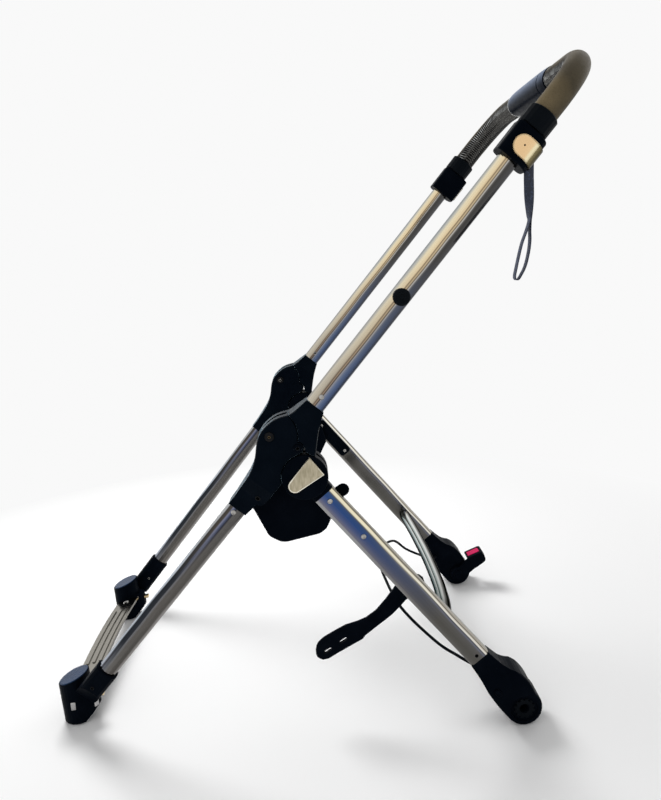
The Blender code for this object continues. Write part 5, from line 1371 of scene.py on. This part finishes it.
    def trim(self) -> None:
        """Thin bright ring at the far end of the centre sleeve, and a dark one at the near end."""
        for side, finish in ((Side.RIGHT, Finish.TRIM), (Side.LEFT, Finish.RING)):
            end = side.value * (self.sleeve_half - 0.0006)
            middle = PUSH.point(self.crossbar, self.offset, end)
            points = []
            for step in range(48):
                turn = 2.0 * math.pi * step / 48
                out = PUSH.along() * math.cos(turn) + PUSH.square() * math.sin(turn)
                points.append(middle + out * self.sleeve_end_radius)
            shape = Bench.cord(points, 0.0006, 8, closed=True)
            self.bench.add(f"sleeve_trim_{side.label}", shape, Body.HANDLE, Slot.SATIN, finish)


@dataclass
class HandStrap:
    """Loop of flat webbing that hangs from the left collar and parts into a long eye."""

    bench: Bench
    x: float = 0.2125
    top_y: float = 0.2868
    top_z: float = 0.7492
    width: float = 0.012
    thickness: float = 0.0011
    layer_gap: float = 0.0002
    straight: float = 0.020
    twist: float = 0.052
    sway: float = 0.0012
    turns: int = 9
    eye: tuple[tuple[float, float], ...] = (
        (-0.0042, -0.0120), (-0.0097, -0.0270), (-0.0140, -0.0440), (-0.0170, -0.0580),
        (-0.0186, -0.0660), (-0.0180, -0.0705), (-0.0148, -0.0712), (-0.0112, -0.0665),
        (-0.0054, -0.0550), (-0.0012, -0.0380), (0.0004, -0.0240), (0.0002, -0.0120),
    )

    def layer(self, sign: int) -> list[tuple[Vector, Vector]]:
        """One of the two layers of the stem.

        Args:
            sign: -1 for the front layer, 1 for the back one.

        Returns:
            Place and direction across at each station, from the top down.
        """
        top = Vector((self.x, self.top_y, self.top_z))
        half = (self.thickness + self.layer_gap) / 2
        stations = [(0.0, 0.0), (0.0, self.straight / 2)]
        for step in range(self.turns + 1):
            stations.append((step / self.turns, self.straight + self.twist * step / self.turns))
        steps = []
        for share, drop in stations:
            angle = math.pi / 2 * share
            across = Vector((math.sin(angle), math.cos(angle), 0.0))
            normal = Vector((-math.cos(angle), math.sin(angle), 0.0))
            place = top + Vector((0.0, self.sway * share, -drop)) + sign * half * normal
            steps.append((place, across))
        return steps

    def stations(self) -> list[tuple[Vector, Vector, Vector]]:
        """Place, direction across and normal of the band, all round the loop.

        Returns:
            The stations in order, from the top down the front and back up.
        """
        fork = Vector((self.x, self.top_y + self.sway, self.top_z - self.straight - self.twist))
        flat = Vector((1.0, 0.0, 0.0))
        ring = self.layer(-1) + [(fork + Vector((0.0, y, z)), flat) for y, z in self.eye]
        ring += self.layer(1)[::-1]
        places = smooth([place for place, _ in ring], 4)
        sides = smooth([across for _, across in ring], 4)
        result = []
        for index, (place, across) in enumerate(zip(places, sides)):
            ahead, behind = places[min(index + 1, len(places) - 1)], places[max(index - 1, 0)]
            way = (ahead - behind).normalized()
            across = across.normalized()
            result.append((place, across, way.cross(across).normalized()))
        return result

    def build(self) -> None:
        """Make the band with its UV map."""
        rows = []
        length = 0.0
        previous = None
        columns = (-0.5, -0.46, 0.46, 0.5)
        for place, across, normal in self.stations():
            length += (place - previous).length if previous else 0.0
            previous = place
            row = []
            for sign in (1.0, -1.0):
                for column in columns if sign > 0 else columns[::-1]:
                    thin = 0.5 if abs(column) < 0.49 else 0.22
                    lift = normal * (sign * thin * self.thickness)
                    spot = place + across * (column * self.width) + lift
                    row.append((spot, (length, column * self.width)))
            rows.append(row)
        finish = Finish.WEBBING
        strap = self.bench.add("hand_strap", Bench.skin(rows), Body.PUSH, Slot.WEBBING, finish)
        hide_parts("wrist_strap")


@dataclass
class RearBow:
    """Round polished bow between the rear legs."""

    bench: Bench
    distance: float = 0.291
    radius: float = 0.0097
    path: tuple[tuple[float, float], ...] = (
        (0.2085, 0.0), (0.185, 0.003), (0.14, 0.0140), (0.09, 0.0215), (0.045, 0.0255),
        (0.0, 0.0265),
    )

    def build(self) -> None:
        """Make the bow as one smooth bar over its CAD route."""
        half = [REAR_LEG.point(self.distance + bulge, 0.0, x) for x, bulge in self.path]
        other = [Vector((-point.x, point.y, point.z)) for point in half[-2::-1]]
        shape = Bench.cord(smooth(half + other, 6), self.radius, 32)
        finish = Finish.BOW
        bow = self.bench.add("polished_bow", shape, Body.REAR, Slot.TUBE, finish)
        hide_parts("rear_bow")


@dataclass
class BadgeRim:
    """Polished raised rim round the bare plate on each rear knuckle."""

    bench: Bench
    width: float = 0.0009
    height: float = 0.0007

    def outline(self) -> list[tuple[float, float]]:
        """Outline of the plate in the rear leg's plane, anticlockwise."""
        round_end = [(-0.0005 + x, -0.0165 + y) for x, y in arc(0.0088, 190.0, 160.0, 14)]
        return round_end + [(0.0130, 0.0215), (-0.0165, 0.0225)]

    def build(self) -> None:
        """Make both rims as round wires that lie on the plates' edges."""
        corners = self.outline()
        middle_u = sum(u for u, _ in corners) / len(corners)
        middle_v = sum(v for _, v in corners) / len(corners)
        for side in Side:
            node = f"badge_plate_{side.label}"
            points = []
            for u, v in corners:
                inset = Vector((middle_u - u, middle_v - v)).normalized() * self.width
                start = REAR_LEG.point(u + inset.x, v + inset.y, side.value * OUTSIDE)
                points.append(self.bench.seat(node, start, side.inwards)[0])
            shape = Bench.cord(points, self.height, 8, closed=True)
            finish = Finish.BADGE_EDGE
            self.bench.add(f"badge_rim_{side.label}", shape, Body.REAR, Slot.CHAMPAGNE, finish)


@dataclass
class BrakeLine:
    """Sheathed brake cable between the hubs, along its CAD route."""

    bench: Bench
    radius: float = 0.0022
    ferrule: tuple[float, ...] = (0.2037, 0.1985, 0.1945)
    seat_y: float = 0.23279
    seat_z: float = 0.06175
    route: tuple[tuple[float, float, float], ...] = (
        (0.1892, 0.2275, 0.0613), (0.1875, 0.2180, 0.0638), (0.1780, 0.1972, 0.0736),
        (0.1620, 0.1690, 0.0888), (0.1200, 0.1256, 0.1224), (0.0500, 0.1095, 0.1382),
        (0.0000, 0.1064, 0.1451), (-0.0500, 0.1143, 0.1492), (-0.1200, 0.1435, 0.1316),
        (-0.1620, 0.1709, 0.0968), (-0.1780, 0.1971, 0.0771), (-0.1875, 0.2180, 0.0640),
        (-0.1892, 0.2275, 0.0613),
    )

    def build(self) -> None:
        """Make the cable as one smooth tube."""
        left = [Vector((x, self.seat_y, self.seat_z)) for x in self.ferrule]
        right = [Vector((-point.x, point.y, point.z)) for point in reversed(left)]
        points = smooth(left + [Vector(point) for point in self.route] + right, 8)
        shape = Bench.cord(points, self.radius, 14)
        finish = Finish.RUBBER
        cable = self.bench.add("brake_line", shape, Body.REAR, Slot.RUBBER, finish)
        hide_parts("brake_cable")


@dataclass
class Dressing:
    """Gives the CAD nodes that stay in view their finish."""

    bench: Bench

    def build(self) -> None:
        """Dress the nodes, sub-assembly by sub-assembly."""
        pairs = (
            (Finish.PUSH_TUBE, ("push_tube",)),
            (Finish.FRONT_TUBE, ("front_leg_tube",)),
            (Finish.HINGE, ("hinge_body", "push_knuckle")),
            (Finish.PLASTIC, ("fold_lock_bolt", "hinge_guard", "front_socket")),
            (Finish.PLASTIC, ("collar", "rear_knuckle", "rear_leg_bracket")),
            (Finish.PLASTIC, ("rear_hub", "axle_release")),
            (Finish.RING, ("grip_ring", "hub_ring")),
            (Finish.GLOSS, ("socket_cap",)),
            (Finish.RUBBER, ("tube_bumper",)),
            (Finish.DARK_STEEL, ("fold_pivot_bolt", "rear_pivot_bolt")),
            (Finish.RELEASE, ("castor_release",)),
            (Finish.BADGE, ("badge_plate",)),
        )
        for finish, names in pairs:
            nodes = (f"{name}_{side.label}" for name in names for side in Side)
            self.bench.dress(finish, *nodes)
        singles = (
            (Finish.REAR_TUBE, ("rear_leg_tube_left",)),
            (Finish.REAR_TUBE_RIGHT, ("rear_leg_tube_right",)),
            (Finish.CHAMPAGNE, ("fold_trigger_left",)),
            (Finish.CHAMPAGNE_RIGHT, ("fold_trigger_right",)),
            (Finish.STEM, ("handle_bar",)),
            (Finish.PLATE, ("foot_plate",)),
            (Finish.PLASTIC, ("brake_pedal", "latch_arm", "safety_catch")),
            (Finish.STEEL, ("latch_pin",)),
            (Finish.CRIMSON, ("pedal_insert",)),
        )
        for finish, names in singles:
            self.bench.dress(finish, *names)


@dataclass
class Studio:
    """Pale floor, soft light, white surroundings and the photograph's camera."""

    floor_size: float = 9.0
    floor_colour: Colour = (0.96, 0.96, 0.96)
    surround: float = 0.947
    fade: tuple[float, float] = (0.50, 1.2)
    room_strength: float = 0.48
    room: Stops = (
        (0.0, (0.55, 0.55, 0.56)),
        (0.47, (0.60, 0.60, 0.60)),
        (0.55, (0.50, 0.50, 0.52)),
        (0.68, (0.85, 0.85, 0.85)),
        (1.0, (1.0, 1.0, 1.0)),
    )
    lens: float = 32.4
    sensor: float = 36.0
    view: tuple[tuple[float, ...], ...] = (
        (0.03748, -0.18943, 0.98120, 1.12),
        (0.99821, 0.05326, -0.02785, 0.0054),
        (-0.04699, 0.98044, 0.19108, 0.6415),
        (0.0, 0.0, 0.0, 1.0),
    )

    def build(self) -> None:
        """Set up the whole studio."""
        self.floor()
        self.world()
        self.lamps()
        self.camera()
        bpy.context.scene.view_settings.view_transform = "Standard"

    @staticmethod
    def seen(wiring: Wiring) -> Socket:
        """1 for the rays that carry the white surroundings: straight, mirrored and refracted."""
        path = wiring.add("ShaderNodeLightPath").outputs
        seen = wiring.math("MAXIMUM", path["Is Camera Ray"], path["Is Glossy Ray"])
        return wiring.math("MAXIMUM", seen, path["Is Transmission Ray"])

    def floor(self) -> None:
        """Large plane whose shade melts into the white surroundings away from the chassis."""
        board = Board("floor_pale")
        flat = board.stretched((1.0, 1.0, 0.0))
        fade = board.spread(board.vector("LENGTH", flat).outputs["Value"], *self.fade)
        board.surface(Base_Color=self.floor_colour, Roughness=0.9, Specular_IOR_Level=0.1)
        inputs = {"Color": (1.0, 1.0, 1.0), "Strength": self.surround}
        glow = board.add("ShaderNodeEmission", inputs).outputs[0]
        share = board.product(fade, self.seen(board))
        mix = board.add("ShaderNodeMixShader", {0: share, 1: board.shader.outputs[0], 2: glow})
        board.feed(board.tree.nodes["Material Output"].inputs["Surface"], mix.outputs[0])
        shape = bmesh.new()
        bmesh.ops.create_grid(shape, x_segments=2, y_segments=2, size=self.floor_size / 2)
        mesh = bpy.data.meshes.new("floor")
        shape.to_mesh(mesh)
        shape.free()
        mesh.materials.append(board.material)
        floor = bpy.data.objects.new("floor", mesh)
        bpy.context.scene.collection.objects.link(floor)

    def world(self) -> None:
        """White surroundings for the camera, gloss and refraction, and a soft graded room for
        light.
        """
        world = bpy.data.worlds.new("studio_surroundings")
        bpy.context.scene.world = world
        world.use_nodes = True
        wiring = Wiring(world.node_tree)
        wiring.tree.nodes.clear()
        sky = wiring.add("ShaderNodeTexCoord").outputs["Generated"]
        upwards = wiring.add("ShaderNodeSeparateXYZ", {0: sky}).outputs["Z"]
        shade = wiring.ramp(wiring.math("MULTIPLY_ADD", upwards, 0.5, 0.5), self.room)
        shades = []
        for colour, strength in ((shade, self.room_strength), ((1.0, 1.0, 1.0), self.surround)):
            inputs = {"Color": colour, "Strength": strength}
            shades.append(wiring.add("ShaderNodeBackground", inputs).outputs[0])
        inputs = {0: self.seen(wiring), 1: shades[0], 2: shades[1]}
        mix = wiring.add("ShaderNodeMixShader", inputs).outputs[0]
        wiring.add("ShaderNodeOutputWorld", {"Surface": mix})

    def lamps(self) -> None:
        """Three soft boxes: over the chassis, in front of it and behind it."""
        boxes = (
            ("softbox_over", (-1.1, -0.75, 1.6), (0.0, 0.0, 0.15), 0.8, 31.0),
            ("softbox_front", (1.7, -1.0, 1.1), (0.1, -0.05, 0.45), 1.5, 6.0),
            ("softbox_rear", (-0.6, 1.7, 1.6), (0.0, 0.1, 0.5), 1.6, 5.0),
        )
        for name, place, aim, size, power in boxes:
            light = bpy.data.lights.new(name, "AREA")
            light.size = size
            light.energy = power
            lamp = bpy.data.objects.new(name, light)
            lamp.visible_glossy = name == "softbox_rear"
            lamp.location = place
            back = Vector(place) - Vector(aim)
            lamp.rotation_euler = back.to_track_quat("Z", "Y").to_euler()
            bpy.context.scene.collection.objects.link(lamp)

    def camera(self) -> None:
        """Camera of the photograph: near the left side, a little over the hinges."""
        lens = bpy.data.cameras.new("photo_camera")
        lens.lens = self.lens
        lens.sensor_width = self.sensor
        camera = bpy.data.objects.new("photo_camera", lens)
        camera.matrix_world = Matrix(self.view)
        bpy.context.scene.collection.objects.link(camera)
        bpy.context.scene.camera = camera


def main() -> None:
    """Build the studio, dress the chassis and add its fittings, one sub-assembly at a time."""
    logging.basicConfig(level=logging.INFO, format="%(name)s: %(message)s")
    bench = Bench()
    Studio().build()
    for assembly in (
        Dressing(bench),
        Fasteners(bench),
        FrontFittings(bench),
        Handle(bench),
        HandStrap(bench),
        RearBow(bench),
        BadgeRim(bench),
        BrakeLine(bench),
    ):
        assembly.build()
        LOG.info("finished %s", type(assembly).__name__)


if __name__ == "__main__":
    main()
